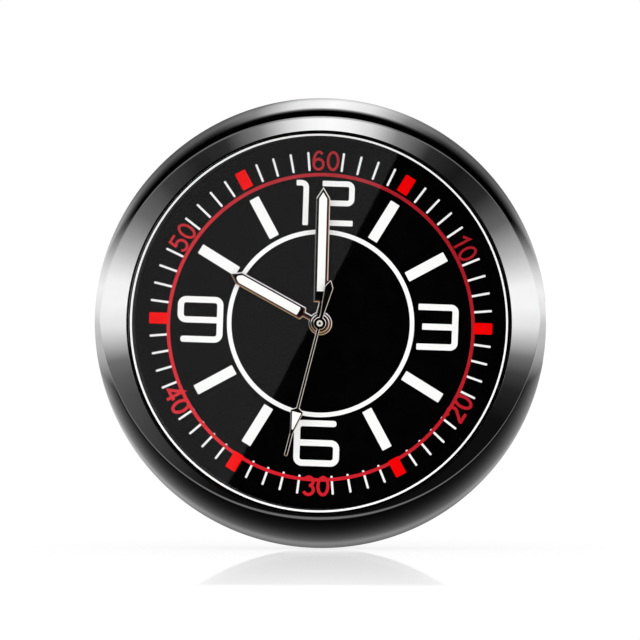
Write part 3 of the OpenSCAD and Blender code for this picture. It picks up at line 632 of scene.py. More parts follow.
def row_radius(row, turn):
    """Radius of a row of vertices on the front of the bezel."""
    crease = min(crease_radius(turn), case_r - RIM_ROUND)
    inner = max(crease - CREASE_REACH, lip_r + FACET_ROWS * ROW_GAP)
    outer = min(crease + CREASE_REACH, case_r - ROW_GAP * SHOULDER_ROWS)
    if row <= FACET_ROWS:
        return lip_r + (inner - lip_r) * row / FACET_ROWS
    row -= FACET_ROWS
    if row <= CREASE_ROWS:
        return inner + (outer - inner) * row / CREASE_ROWS
    share = (row - CREASE_ROWS) / SHOULDER_ROWS
    return outer + (case_r - outer) * (1 - (1 - share) ** ROW_CROWDING)


print("crease radius at 12, 3 and 6:", [round(crease_radius(math.radians(a)), 2) for a in (0, 90, 180)])

# %% [markdown]
# ## Chrome
# Bright chrome plate is an almost perfect mirror. A glossy shader could give that, but a metallic
# Principled shader also takes part in the export. A faint drift of tone and roughness stands for the
# slight haze of a handled plate.

# %% Chrome plate
chrome, tree, shader, spot = start_material("mirror_chrome")
shader.inputs["Metallic"].default_value = 1.0
haze = effect(tree, drift_group, spot, scale=400.0)
tint(tree, shader, haze, (0.955, 0.957, 0.96), (0.985, 0.985, 0.985))
roughen(tree, shader, spot, scale=1500.0, low=0.015, high=0.045)
print("finish:", chrome.name)

# %% [markdown]
# ## Bezel
# The section at twelve o'clock is spun into a ring: the front rows, then the rear with its collar and the
# seat of the glass. After that the front rows are set to the heights for their own angle. A number on
# each vertex says which row it belongs to, because the spin copies it along. Shaping after the spin keeps
# the mesh a regular grid of rows, which a boolean would not.

# %% Bezel
BEZEL_STEPS = 360
LIP_BEVEL = 0.006
REAR_BEVEL = 0.6
COLLAR_WALL = 1.5
COLLAR_H = 1.4
SEAT_STEP = 0.22
NO_ROW = -1
collar_bore = case_r - COLLAR_WALL
collar_end = bezel_rear + COLLAR_H
lip_rear = crystal_front + SEAT_GAP
front = [(row_radius(row, 0), bezel_depth(row_radius(row, 0), 0)) for row in range(last_row + 1)]
back = [(case_r, bezel_rear + REAR_BEVEL), (case_r - REAR_BEVEL, bezel_rear), (collar_bore, bezel_rear),
        (collar_bore, collar_end), (seat_r - SEAT_STEP, collar_end), (seat_r - SEAT_STEP, crystal_rear),
        (seat_r, crystal_rear), (seat_r, lip_rear), (lip_in, lip_rear), (lip_in, lip_depth - LIP_BEVEL),
        (lip_in + LIP_BEVEL, lip_depth)]

bm = bmesh.new()
row_layer = bm.verts.layers.int.new("row")
verts, edges = close_outline(bm, front + back)
for row, vert in enumerate(verts):
    vert[row_layer] = row if row <= last_row else NO_ROW
spin_round(bm, verts + edges, BEZEL_STEPS)
for vert in bm.verts:
    if vert[row_layer] != NO_ROW:
        turn = math.atan2(vert.co.x, vert.co.z)
        r = row_radius(vert[row_layer], turn)
        vert.co = place(r, math.degrees(turn), bezel_depth(r, turn))
finish_piece("chrome_bezel", bm, chrome, "clock", "chrome", "bezel")

# %% [markdown]
# ## Finishes of the other solids
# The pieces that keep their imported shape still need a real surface. Two builders cover most of them:
# turned or brushed metal, whose tone and roughness follow the same tool marks, and moulded plastic or
# rubber with a fine grain. Each finish is given as a dark and a light tone and a range of roughness, so
# no surface is one flat colour. Separate materials by hand would differ only in these numbers.

# %% Metals and plastics
MARK_STRENGTH = 0.5
GRAIN_STRENGTH = 0.3
PATCH_TO_GRAIN = 4


def metal(name, dark, light, rough, marks=drift_group, scale=1200.0, groove=0.0):
    """Metal with tool marks; groove is the depth of the marks in mm."""
    material, tree, shader, spot = start_material(name)
    shader.inputs["Metallic"].default_value = 1.0
    tint(tree, shader, effect(tree, marks, spot, scale), dark, light)
    roughen(tree, shader, spot, scale, *rough, marks)
    if groove:
        bump(tree, shader, effect(tree, marks, spot, scale), MARK_STRENGTH, groove)
    return material


def moulded(name, dark, light, rough, scale=2500.0, grain=0.004, shine=0.5):
    """Plastic, rubber or paint with a fine grain; grain is its height in mm."""
    material, tree, shader, spot = start_material(name)
    shader.inputs["Specular IOR Level"].default_value = shine
    tint(tree, shader, effect(tree, drift_group, spot, scale / PATCH_TO_GRAIN), dark, light)
    roughen(tree, shader, spot, scale, *rough)
    bump(tree, shader, effect(tree, drift_group, spot, scale), GRAIN_STRENGTH, grain)
    return material


print("two builders:", metal.__name__, moulded.__name__)

# %% [markdown]
# The list below gives each slot of the record its finish: satin plate for the case, a turned brush on the
# cover, brass for plates and wheels, steel for screws, iron for the motor, rubber for the gaskets and so
# on. A list is easier to compare than a cell for each.

# %% Finishes of metal and plastic
finishes = {
    "chrome": chrome,
    "case_steel": metal("satin_case", (0.66, 0.67, 0.68), (0.76, 0.77, 0.78), (0.16, 0.26)),
    "cover_steel": metal("brushed_cover", (0.48, 0.49, 0.50), (0.70, 0.71, 0.72), (0.24, 0.42),
                         marks=rings_group, scale=12000.0, groove=0.002),
    "plate_brass": metal("plate_brass", (0.62, 0.47, 0.22), (0.76, 0.60, 0.31), (0.22, 0.40),
                         marks=rings_group, scale=7000.0, groove=0.002),
    "wheel_brass": metal("wheel_brass", (0.74, 0.53, 0.20), (0.86, 0.66, 0.30), (0.15, 0.30),
                         marks=rings_group, scale=9000.0),
    "screw_steel": metal("screw_steel", (0.52, 0.53, 0.55), (0.68, 0.69, 0.71), (0.18, 0.32), scale=3000.0),
    "crown_steel": metal("crown_plate", (0.74, 0.75, 0.76), (0.86, 0.87, 0.88), (0.06, 0.14), scale=2500.0),
    "motor_iron": metal("motor_iron", (0.22, 0.23, 0.25), (0.36, 0.37, 0.39), (0.38, 0.55), scale=1800.0,
                        groove=0.003),
    "can_steel": metal("nickel_can", (0.62, 0.63, 0.63), (0.76, 0.77, 0.78), (0.12, 0.25), scale=1500.0),
    "black_rubber": moulded("black_rubber", (0.001, 0.001, 0.001), (0.003, 0.003, 0.003), (0.55, 0.75),
                            shine=0.05),
    "white_plastic": moulded("white_ring", (0.93, 0.93, 0.92), (0.97, 0.97, 0.96), (0.45, 0.6),
                             grain=0.001),
    "holder_plastic": moulded("holder_plastic", (0.03, 0.03, 0.033), (0.07, 0.07, 0.075), (0.4, 0.6)),
    "chip_resin": moulded("chip_resin", (0.008, 0.008, 0.009), (0.02, 0.02, 0.022), (0.3, 0.5)),
}
print(len(finishes), "finishes so far")

# %% [markdown]
# ## Copper wire
# The coil of the motor is wound from fine enamelled wire. Modelled turns would cost many faces inside a
# closed case, so a wave texture draws them, with a bump for their height.

# %% Copper wire
WIRE_H = 0.02

copper, tree, shader, spot = start_material("copper_wire")
shader.inputs["Metallic"].default_value = 0.7
winding = {"Vector": spot, "Scale": 2600.0, "Distortion": 0.6, "Detail": 1.0}
turns = add_node(tree, "ShaderNodeTexWave", winding, wave_type="BANDS", bands_direction="X").outputs[1]
tint(tree, shader, turns, (0.30, 0.11, 0.03), (0.78, 0.40, 0.17))
bump(tree, shader, turns, strength=0.6, distance=WIRE_H)
roughen(tree, shader, spot, scale=900.0, low=0.25, high=0.4)
finishes["copper_wire"] = copper
print("finish:", copper.name)

# %% [markdown]
# ## Circuit board
# Under the green mask of the board the copper tracks show a little lighter. They could be cut out as thin
# sheets, but the board lies inside the case, so a brick texture, turned to lie flat on the board, draws
# them.

# %% Circuit board
TRACK_H = 0.01
TRACK_TURN = 0.5
TRACKS = {"Color1": (0.010, 0.075, 0.030, 1), "Color2": (0.014, 0.095, 0.038, 1),
          "Mortar": (0.05, 0.22, 0.09, 1), "Scale": 1000.0, "Mortar Size": 0.09, "Brick Width": 1.5,
          "Row Height": 0.6}

board_mask, tree, shader, spot = start_material("circuit_board")
lie_flat = (math.pi / 2, 0, TRACK_TURN)
flat_spot = add_node(tree, "ShaderNodeMapping", {"Vector": spot, "Rotation": lie_flat}).outputs[0]
tracks = add_node(tree, "ShaderNodeTexBrick", {"Vector": flat_spot, **TRACKS}).outputs
tree.links.new(tracks["Color"], shader.inputs["Base Color"])
roughen(tree, shader, spot, scale=2000.0, low=0.25, high=0.4)
bump(tree, shader, tracks["Fac"], strength=0.4, distance=TRACK_H)
finishes["board_green"] = board_mask
print("finish:", board_mask.name)

# %% [markdown]
# ## Foam
# Foam tape is a mass of tiny cells. A cell texture gives both their tone and their height, so that light
# and bump agree, which two separate noises would not.

# %% Foam
CELL_H = 0.05

foam, tree, shader, spot = start_material("foam_tape")
cells = add_node(tree, "ShaderNodeTexVoronoi", {"Vector": spot, "Scale": 3800.0}).outputs["Distance"]
tint(tree, shader, cells, (0.035, 0.035, 0.037), (0.11, 0.11, 0.115))
bump(tree, shader, cells, strength=0.7, distance=CELL_H)
roughen(tree, shader, spot, scale=1500.0, low=0.75, high=0.95)
finishes["foam_tape"] = foam
print("finish:", foam.name)

# %% [markdown]
# ## Glass
# The crystal is clear mineral glass with a coat against reflections, so it mirrors very little. A low
# index of refraction stands for that coat. Cycles lets no light fall straight through a refracting solid,
# so shadow and diffuse rays meet a transparent shader instead, and the dial behind the glass gets its
# full light.

# %% Glass
GLASS_IOR = 1.12

glass, tree, shader, spot = start_material("crystal_glass")
tint(tree, shader, effect(tree, drift_group, spot, scale=300.0), (0.985, 0.99, 0.99), (1, 1, 1))
shader.inputs["Transmission Weight"].default_value = 1.0
shader.inputs["IOR"].default_value = GLASS_IOR
shader.inputs["Roughness"].default_value = 0.0
clear = add_node(tree, "ShaderNodeBsdfTransparent")
paths = add_node(tree, "ShaderNodeLightPath").outputs
lit = math_node(tree, "MAXIMUM", paths["Is Shadow Ray"], paths["Is Diffuse Ray"])
pane = add_node(tree, "ShaderNodeMixShader", {0: lit, 1: shader.outputs[0], 2: clear.outputs[0]})
tree.links.new(pane.outputs[0], tree.nodes["Material Output"].inputs["Surface"])
finishes["crystal_glass"] = glass
print("finish:", glass.name)

# %% [markdown]
# ## Crystal
# The pane is a flat disc with a tiny bevel at its front edge, where the lip of the bezel holds it. The
# bevel is drawn in the lathed outline, which is quicker than a bevel of one ring of edges.

# %% Crystal
CRYSTAL_BEVEL = 0.008

bm = bmesh.new()
lathe(bm, [(0, crystal_rear), (crystal_r, crystal_rear), (crystal_r, crystal_front - CRYSTAL_BEVEL),
           (crystal_r - CRYSTAL_BEVEL, crystal_front), (0, crystal_front)])
finish_piece("crystal_pane", bm, glass, "clock", "crystal_glass", "crystal")

# %% [markdown]
# ## White ring
# The ring that holds the glass off the dial shows as a thin white line. It could be a plain tube, but its
# inner edge is chamfered, so that the visible face leans to the middle and is not shaded by the bezel,
# and its foot is undercut, so that no second wall shows below the chamfer. It lies in its bore with a
# little play. A weak glow is painted light: it brightens the ring where the bezel and the floor shade it.

# %% White ring
RING_SHRINK = 0.09
RING_WALL = 0.18
RING_FOOT = 0.05
RING_TOP = 0.03
RING_CHAMFER = 0.13
RING_PLAY = Vector((-0.07, 0, 0.03)) * MM
RING_PAINTED_GLOW = 0.2
BORDER_H = 0.006
spacer_r, ring_rear, spacer_front = extent("spacer_ring")
ring_r = spacer_r - RING_SHRINK
ring_front = spacer_front - 2 * BORDER_H

ring_shader = finishes["white_plastic"].node_tree.nodes["Principled BSDF"]
# The glow is painted light, not scatter in the plastic: it lifts the ring where it lies in shade.
ring_shader.inputs["Emission Color"].default_value = WHITE
ring_shader.inputs["Emission Strength"].default_value = RING_PAINTED_GLOW
bm = bmesh.new()
lathe(bm, [(ring_r - RING_FOOT, ring_rear), (ring_r, ring_rear), (ring_r, ring_front),
           (ring_r - RING_TOP, ring_front), (ring_r - RING_WALL, ring_front - RING_CHAMFER)])
bmesh.ops.translate(bm, verts=bm.verts, vec=RING_PLAY)
finish_piece("white_ring", bm, finishes["white_plastic"], "clock", "white_plastic", "spacer_ring")

# %% [markdown]
# ## Printing ink
# Ink lies as a smooth thin film, with hardly any texture. One builder makes every ink from a dark and a
# light tone. Usually the tone drifts a little from place to place. With a lean, the tone also goes from
# dark to light along one direction over the dial.

# %% Ink
INK_DRIFT = 2500.0
LEAN_DRIFT = (0.4, 0.6)


def print_ink(name, dark, light, shine, lean=None):
    """Smooth printed ink; lean is the direction over the dial in which it gets lighter."""
    material, tree, shader, spot = start_material(name)
    shader.inputs["Specular IOR Level"].default_value = shine
    if lean:
        ahead = add_node(tree, "ShaderNodeVectorMath", {0: spot, 1: lean}, operation="DOT_PRODUCT")
        drift = effect(tree, drift_group, spot, INK_DRIFT, *LEAN_DRIFT)
        value = math_node(tree, "ADD", ahead.outputs["Value"], drift, clamp=True)
    else:
        value = effect(tree, drift_group, spot, INK_DRIFT)
    tint(tree, shader, value, dark, light)
    roughen(tree, shader, spot, scale=3000.0, low=0.004, high=0.01)
    return material


# The black band on the glass is painted shade for the dark gap round the white ring.
painted_shade_ink = print_ink("painted_shade_ink", (0.0005,) * 3, (0.001,) * 3, shine=0.02)
print("finish:", painted_shade_ink.name)

# %% [markdown]
# ## Black border
# A black band on the rear of the glass is painted shade: it stands for the dark gap between the white ring
# and the bore of the bezel, and hides that gap. Its hole follows the ring, which lies a little off the
# axis, so the band can't be lathed. Two circles are bridged into a flat band instead, and the band is
# extruded to a thin layer.

# %% Black border on the glass
BORDER_LAP = 0.012


def verts_in(geometry):
    """The vertices in the list that an operator returns."""
    return [item for item in geometry if isinstance(item, bmesh.types.BMVert)]


bm = bmesh.new()
hole = bmesh.ops.create_circle(bm, segments=TURN_STEPS, radius=(ring_r - BORDER_LAP) * MM)["verts"]
face_viewer = Matrix.Translation((0, -crystal_rear * MM, 0)) @ Matrix.Rotation(math.pi / 2, 4, "X")
bmesh.ops.transform(bm, matrix=Matrix.Translation(RING_PLAY) @ face_viewer, verts=hole)
bmesh.ops.create_circle(bm, segments=TURN_STEPS, radius=crystal_r * MM, matrix=face_viewer)
bmesh.ops.bridge_loops(bm, edges=bm.edges[:])
printed = bmesh.ops.extrude_face_region(bm, geom=bm.faces[:])["geom"]
bmesh.ops.translate(bm, verts=verts_in(printed), vec=(0, BORDER_H * MM, 0))
finish_piece("glass_border", bm, painted_shade_ink, "clock", "dial_black")

# %% [markdown]
# ## Finishes of the dial
# The dial is black lacquer, smooth enough to mirror the edge of the grey card. The white and the red
# print are inks. The thin red lines let some of the black through, so their red is darker, and a little
# brighter towards the lower left. A texture could hold the whole dial, but print as pieces stays sharp at
# any distance.

# %% Lacquer and inks
LEAN_PER_METRE = 36.0
LOWER_LEFT = Vector((-0.7, 0, -0.7))

lacquer, tree, shader, spot = start_material("dial_lacquer")
tint(tree, shader, effect(tree, drift_group, spot, scale=500.0), (0.0006,) * 3, (0.0016,) * 3)
roughen(tree, shader, spot, scale=2500.0, low=0.004, high=0.01)
finishes["dial_black"] = lacquer
white_ink = print_ink("white_ink", (0.93, 0.935, 0.92), (0.97, 0.97, 0.96), shine=0.1)
red_ink = print_ink("red_ink", (0.90, 0.0012, 0.0016), (0.96, 0.002, 0.003), shine=0.5)
thin_red_ink = print_ink("thin_red_ink", (0.38, 0.013, 0.021), (0.72, 0.018, 0.030), shine=0.9,
                         lean=LOWER_LEFT * LEAN_PER_METRE)
print("finishes:", lacquer.name, white_ink.name, red_ink.name, thin_red_ink.name)

# %% [markdown]
# ## Bars of the print
# The printed marks are thin layers that stand a few hundredths of a millimetre proud of the dial. A bar
# is a box with rounded corners. One group of bars is drawn, and a spin that copies sets it evenly round
# the dial, which is surer than sixty angles in a list. The whole print sits about two degrees clockwise.

# %% Ticks, bars and blocks
PRINT_TURN = 1.9
WHITE_H = 0.03
RED_H = 0.036
OVERPRINT = 0.004
CORNER_SEGMENTS = 3
TICK = {"inner": 13.55, "outer": 15.23, "width": 0.195, "corner": 0.07}
HOUR_BAR = {"inner": 8.70, "outer": 12.56, "width": 0.91, "corner": 0.06}
BLOCK = {"inner": 13.6, "outer": 15.24, "width": 1.0, "corner": 0.09}
MINUTE_ANGLE = 6
HOUR_ANGLE = 30


def add_shape(bm, shape):
    """Add one finished shape to a piece that holds several."""
    mesh = bpy.data.meshes.new("shape")
    shape.to_mesh(mesh)
    shape.free()
    bm.from_mesh(mesh)
    bpy.data.meshes.remove(mesh)


def add_bar(bm, bar, clock_angle, height):
    """Rounded bar that points to the centre, printed on the dial."""
    box = bmesh.new()
    size = Matrix.Diagonal((bar["width"] * MM, height * MM, (bar["outer"] - bar["inner"]) * MM, 1))
    bmesh.ops.create_cube(box, size=1.0, matrix=size)
    upright = [e for e in box.edges if abs(e.verts[0].co.y - e.verts[1].co.y) > height * MM / 2]
    bmesh.ops.bevel(box, geom=upright, offset=bar["corner"] * MM, affect="EDGES", segments=CORNER_SEGMENTS,
                    profile=0.5, material=-1)
    turn = Matrix.Rotation(math.radians(clock_angle), 4, "Y")
    seat = place((bar["inner"] + bar["outer"]) / 2, clock_angle, dial_front + height / 2)
    bmesh.ops.transform(box, matrix=Matrix.Translation(seat) @ turn, verts=box.verts)
    add_shape(bm, box)


def print_bars(name, bar, angles, copies, height, ink):
    """Bars at some angles of the print, copied evenly round the dial."""
    bm = bmesh.new()
    for angle in angles:
        add_bar(bm, bar, PRINT_TURN + angle, height)
    bmesh.ops.spin(bm, geom=bm.verts[:] + bm.edges[:] + bm.faces[:], cent=(0, 0, 0), axis=AXIS,
                   angle=math.tau * (copies - 1) / copies, steps=copies - 1, use_duplicate=True)
    finish_piece(name, bm, ink, "clock", "dial_black")


four_minutes = [MINUTE_ANGLE * minute for minute in (1, 2, 3, 4)]
print_bars("minute_ticks", TICK, four_minutes, copies=12, height=WHITE_H, ink=white_ink)
two_hours = [HOUR_ANGLE, 2 * HOUR_ANGLE]
print_bars("hour_bars", HOUR_BAR, two_hours, copies=4, height=WHITE_H, ink=white_ink)
print_bars("five_minute_blocks", BLOCK, [HOUR_ANGLE], copies=6, height=RED_H + OVERPRINT, ink=red_ink)

# %% [markdown]
# ## Circles of the print
# Two thin circles are printed as well: a white one inside the hour marks, and a red one across the feet
# of the ticks, which hangs a little low. A curve with a bevel could draw them, but a lathed ring has a
# flat, sharp edge.

# %% Circles
RED_CIRCLE = (13.38, 13.69)
RED_CIRCLE_DROP = 0.345
WHITE_CIRCLE = (7.92, 8.32)


def print_circle(name, radii, height, ink, drop=0.0):
    """Flat ring between two radii; drop is how far it hangs below the middle of the dial."""
    inner, outer = radii
    top = dial_front + height
    bm = bmesh.new()
    lathe(bm, [(inner, dial_front), (outer, dial_front), (outer, top), (inner, top)])
    bmesh.ops.translate(bm, verts=bm.verts, vec=(0, 0, -drop * MM))
    finish_piece(name, bm, ink, "clock", "dial_black")


print_circle("red_circle", RED_CIRCLE, RED_H, thin_red_ink, drop=RED_CIRCLE_DROP)
print_circle("white_circle", WHITE_CIRCLE, WHITE_H, white_ink)

# %% [markdown]
# ## Numerals as pen strokes
# Each numeral is drawn as with a pen, because a text object would bring a typeface of its own. A centre
# line is a few points joined by edges. A vertex bevel rounds its bends, and an extrusion raises it into a
# low wall. Coordinates are millimetres from the middle of the figure.

# %% Strokes
BEND_SEGMENTS = 6


def add_stroke(bm, points, corner, matrix, height):
    """Low wall along a centre line; corner is the rounding of its bends."""
    line = bmesh.new()
    verts = [line.verts.new((u * MM, 0, v * MM)) for u, v in points]
    for pair in zip(verts, verts[1:]):
        line.edges.new(pair)
    bmesh.ops.remove_doubles(line, verts=line.verts, dist=DOUBLE * MM)
    bends = [vert for vert in line.verts if len(vert.link_edges) == 2]
    if corner and bends:
        bmesh.ops.bevel(line, geom=bends, offset=corner * MM, affect="VERTICES", segments=BEND_SEGMENTS,
                        profile=0.5, material=-1, clamp_overlap=True)
    raised = bmesh.ops.extrude_edge_only(line, edges=line.edges[:])["geom"]
    bmesh.ops.translate(line, verts=verts_in(raised), vec=(0, -height * MM, 0))
    bmesh.ops.transform(line, matrix=matrix, verts=line.verts)
    add_shape(bm, line)


def figure_matrix(r, clock_angle, tilt):
    """Place of a figure on the dial, tilted clockwise from upright."""
    tilted = Matrix.Rotation(math.radians(tilt), 4, "Y")
    return Matrix.Translation(place(r, clock_angle, dial_front)) @ tilted


print("strokes ready, bends in", BEND_SEGMENTS, "segments")

# %% [markdown]
# ## Width of the pen
# Solidify gives each wall the width of the pen on both sides of its centre line, so every stroke keeps an
# even width in its bends. The upright edges at the free ends get a bevel weight, and a Bevel rounds just
# those, a lot or a little. An offset of the outline by hand would have to be worked out again for each
# pen.

# %% Pen
END_SEGMENTS = 4
ROUND_END = 0.46
SQUARE_END = 0.14


def print_figure(name, bm, ink, width, rounding):
    """Give the strokes of a figure the width of the pen, and round their free ends."""
    piece = finish_piece(name, bm, ink, "clock", "dial_black")
    strokes = bmesh.new()
    strokes.from_mesh(piece.data)
    weights = strokes.edges.layers.float.new("bevel_weight_edge")
    for edge in strokes.edges:
        across = (edge.verts[0].co - edge.verts[1].co).xz.length
        edge[weights] = 1.0 if edge.is_boundary and across < DOUBLE * MM else 0.0
    strokes.to_mesh(piece.data)
    strokes.free()
    pen = piece.modifiers.new("pen", "SOLIDIFY")
    pen.thickness = width * MM
    pen.offset = 0.0
    pen.use_even_offset = True
    ends = piece.modifiers.new("ends", "BEVEL")
    ends.limit_method = "WEIGHT"
    ends.width = rounding * width * MM
    ends.segments = END_SEGMENTS
    piece.data.shade_flat()


print("ends are rounded by", SQUARE_END, "or", ROUND_END, "of the pen")

# %% [markdown]
# ## Hour numerals
# Twelve, three, six and nine are squarish figures with rounded bends, so a few points are enough for
# each. Where two strokes of a figure cross, the second lies a hair lower, so that their tops don't
# flicker in the render. The twelve has a thinner pen than the others.

# %% Twelve and three
HOUR_R = 10.62
HOUR_PEN = 0.55
TWELVE_PEN = 0.49
TIGHT_BEND = 0.4
UNDER = 0.002
HALF_H = 1.76
THREE = [(-1.98, HALF_H), (1.32, HALF_H), (1.32, -HALF_H), (-2.06, -HALF_H)]
THREE_MIDDLE = [(-1.6, 0.02), (1.32, 0.02)]
TWO = [(-1.5, 1.79), (1.12, 1.79), (1.12, 0.07), (-1.15, 0.07), (-1.15, -1.69), (1.27, -1.69)]
ONE = [(-0.55, 1.79), (0.32, 1.79), (0.32, -1.95)]
ONE_SIDE = -1.98
TWO_SIDE = 1.28

bm = bmesh.new()
at_twelve = figure_matrix(HOUR_R, PRINT_TURN, PRINT_TURN)
for digit, shift in ((ONE, ONE_SIDE), (TWO, TWO_SIDE)):
    add_stroke(bm, digit, TIGHT_BEND, at_twelve @ Matrix.Translation((shift * MM, 0, 0)), WHITE_H)
print_figure("numeral_twelve", bm, white_ink, TWELVE_PEN, SQUARE_END)
bm = bmesh.new()
at_three = figure_matrix(HOUR_R, 90 + PRINT_TURN, PRINT_TURN)
add_stroke(bm, THREE, TIGHT_BEND, at_three, WHITE_H)
add_stroke(bm, THREE_MIDDLE, 0, at_three, WHITE_H - UNDER)
print_figure("numeral_three", bm, white_ink, HOUR_PEN, SQUARE_END)

# %% [markdown]
# The six is one bent stroke with a second one for its bowl, and the nine is the six turned half round.
# Both have wider bends and round ends, so they are a piece of their own.

# %% Six and nine
SIX_R = 10.64
NINE_R = 10.70
WIDE_BEND = 0.48
HALF_W = 1.755
SIX = [(1.72, HALF_H), (-HALF_W, HALF_H), (-HALF_W, -HALF_H), (0.4, -HALF_H)]
SIX_BOWL = [(-HALF_W, 0.03), (HALF_W, 0.03), (HALF_W, -HALF_H), (-0.4, -HALF_H)]

bm = bmesh.new()
for angle, tilt, reach in ((180, 0, SIX_R), (270, 180, NINE_R)):
    middle = figure_matrix(reach, angle + PRINT_TURN, tilt + PRINT_TURN)
    add_stroke(bm, SIX, WIDE_BEND, middle, WHITE_H)
    add_stroke(bm, SIX_BOWL, WIDE_BEND, middle, WHITE_H - UNDER)
print_figure("numerals_six_nine", bm, white_ink, HOUR_PEN, ROUND_END)

# %% [markdown]
# ## Minute numerals
# The small red numerals have round figures, so their centre lines hold elliptic arcs as well as straight
# strokes. Each number is two digits side by side, tilted so that none stands on its head. The numbers of
# the lower half were printed a little bolder than those of the upper half, so each half is a piece with
# its own pen.

# %% Minute numerals
MINUTE_R = 14.42
THIN_PEN = 0.23
BOLD_PEN = 0.275
DIGIT_STEP = 1.28
ARC_POINTS = 14


def arc(u, v, reach_u, reach_v, start, end):
    """Points of an elliptic arc; angles in degrees, anticlockwise from the right."""
    turns = [math.radians(start + (end - start) * step / ARC_POINTS) for step in range(ARC_POINTS + 1)]
    return [(u + reach_u * math.cos(turn), v + reach_v * math.sin(turn)) for turn in turns]


DIGITS = {
    "0": [arc(0, 0, 0.45, 0.78, -90, 270)],
    "1": [[(-0.24, 0.34), (0.24, 0.74), (0.24, -0.82)]],
    "2": [arc(0, 0.36, 0.42, 0.42, 165, -35) + [(-0.42, -0.76)], [(-0.48, -0.76), (0.5, -0.76)]],
    "3": [arc(0, 0.38, 0.4, 0.4, 160, -80), arc(0, -0.36, 0.44, 0.42, 85, -160)],
    "4": [[(0.2, -0.82), (0.2, 0.74), (-0.5, -0.3)], [(-0.5, -0.3), (0.52, -0.3)]],
    "5": [[(0.4, 0.74), (-0.32, 0.74), (-0.4, 0.02)], arc(-0.02, -0.28, 0.45, 0.5, 140, -155)],
    "6": [arc(0, -0.32, 0.43, 0.46, -90, 270), arc(0.02, -0.1, 0.45, 0.88, 185, 50)],
}
UPPER_NUMBERS = {"60": (0, 0), "10": (60.2, 60), "50": (300.1, -60)}
LOWER_NUMBERS = {"20": (119.5, -60), "30": (179.8, 0), "40": (240, 60)}


def make_minute_numerals(name, numbers, pen):
    """Numbers at (angle, tilt) places of the print, as one piece."""
    bm = bmesh.new()
    for number, (angle, tilt) in numbers.items():
        middle = figure_matrix(MINUTE_R, PRINT_TURN + angle, PRINT_TURN + tilt)
        for side, digit in zip((-DIGIT_STEP / 2, DIGIT_STEP / 2), number):
            shifted = middle @ Matrix.Translation((side * MM, 0, 0))
            for layer, points in enumerate(DIGITS[digit]):
                add_stroke(bm, points, 0, shifted, RED_H + 2 * OVERPRINT - UNDER * layer)
    print_figure(name, bm, thin_red_ink, pen, SQUARE_END)


make_minute_numerals("upper_minute_numerals", UPPER_NUMBERS, THIN_PEN)
make_minute_numerals("lower_minute_numerals", LOWER_NUMBERS, BOLD_PEN)

# %% [markdown]
# ## Finishes of the hands
# A hand is stamped from bright metal. Its face is lacquered black, and luminous paint lies on the lacquer
# as a matt, slightly grainy layer. The lacquer is kept almost without shine: it would otherwise mirror
# the cards and look grey beside the paint.

# %% Finishes of the hands
hand_metal = metal("hand_metal", (0.86, 0.83, 0.80), (0.96, 0.94, 0.92), (0.06, 0.12), scale=1500.0)

hand_lacquer, tree, shader, spot = start_material("hand_lacquer")
tint(tree, shader, effect(tree, drift_group, spot, scale=900.0), (0.0008,) * 3, (0.002,) * 3)
roughen(tree, shader, spot, scale=2500.0, low=0.5, high=0.65)
shader.inputs["Specular IOR Level"].default_value = 0.02
finishes["hand_black"] = hand_lacquer

lume_paint, tree, shader, spot = start_material("luminous_paint")
grain = effect(tree, drift_group, spot, scale=5000.0)
tint(tree, shader, grain, (0.93, 0.935, 0.90), (0.97, 0.975, 0.95))
bump(tree, shader, grain, strength=0.2, distance=0.006)
roughen(tree, shader, spot, scale=4000.0, low=0.6, high=0.8)
shader.inputs["Specular IOR Level"].default_value = 0.1
finishes["lume"] = lume_paint
print("finishes:", hand_metal.name, hand_lacquer.name, lume_paint.name)

# %% [markdown]
# ## Outlines of the hands
# Only the right half of each outline is written down, as (across, along) points of a hand that points up:
# the blade from its tip, then the boss as an arc, then the tail if there is one. The left half is the
# mirror image. A Mirror modifier would do the same, but a closed outline can be filled as one flat face.

# %% Outlines of the hands
BOSS_POINTS = 20
HOUR = {"angle": 299.1, "boss": 1.05, "tail": [], "rims": (0.08, 0.12),
        "blade": [(0.0, 9.14), (0.6, 8.25), (0.6, 1.76), (0.25, 1.62)],
        "paint": [(0.12, 8.47), (0.38, 8.1), (0.38, 2.18)]}
MINUTE = {"angle": 1.5, "boss": 0.84, "tail": [], "rims": (0.08, 0.1),
          "blade": [(0.0, 12.08), (0.62, 11.08), (0.62, 1.88), (0.15, 1.86), (0.38, 0.9)],
          "paint": [(0.02, 11.58), (0.35, 11.04), (0.35, 2.84)]}
SECOND = {"angle": 194.5, "boss": 0.57, "tail": [(0.185, -0.85), (0.395, -3.3), (0.06, -3.9)],
          "rims": (0.06,),
          "blade": [(0.09, 12.12), (0.155, 12.04), (0.155, 10.1), (0.2, 9.8), (0.58, 8.05), (0.56, 7.98),
                    (0.14, 7.72)],
          "paint": [(0.06, 9.7), (0.42, 8.12)]}
HANDS = {"hour": HOUR, "minute": MINUTE, "second": SECOND}


def both_halves(half):
    """Whole outline from its right half."""
    return half + [(-u, v) for u, v in reversed(half)]


def hand_outline(hand):
    """Whole outline of a hand that points up, from its blade, boss and tail."""
    boss = hand["boss"]
    start = math.asin(hand["blade"][-1][0] / boss)
    end = math.pi - (math.asin(hand["tail"][0][0] / boss) if hand["tail"] else 0.0)
    turns = [start + (end - start) * step / BOSS_POINTS for step in range(BOSS_POINTS + 1)]
    round_boss = [(boss * math.sin(turn), boss * math.cos(turn)) for turn in turns]
    return both_halves(hand["blade"] + round_boss + hand["tail"])


print("lengths of the blades in mm:", {name: hand["blade"][0][1] for name, hand in HANDS.items()})

# %% [markdown]
# ## Flat shapes with a thickness
# Blanks and paint both start as a flat face that looks at the viewer and is then pulled up into a solid.
# Filling an outline and extruding it follows the way a press stamps sheet, and is shared by all three
# hands.

# %% Stamping and turning


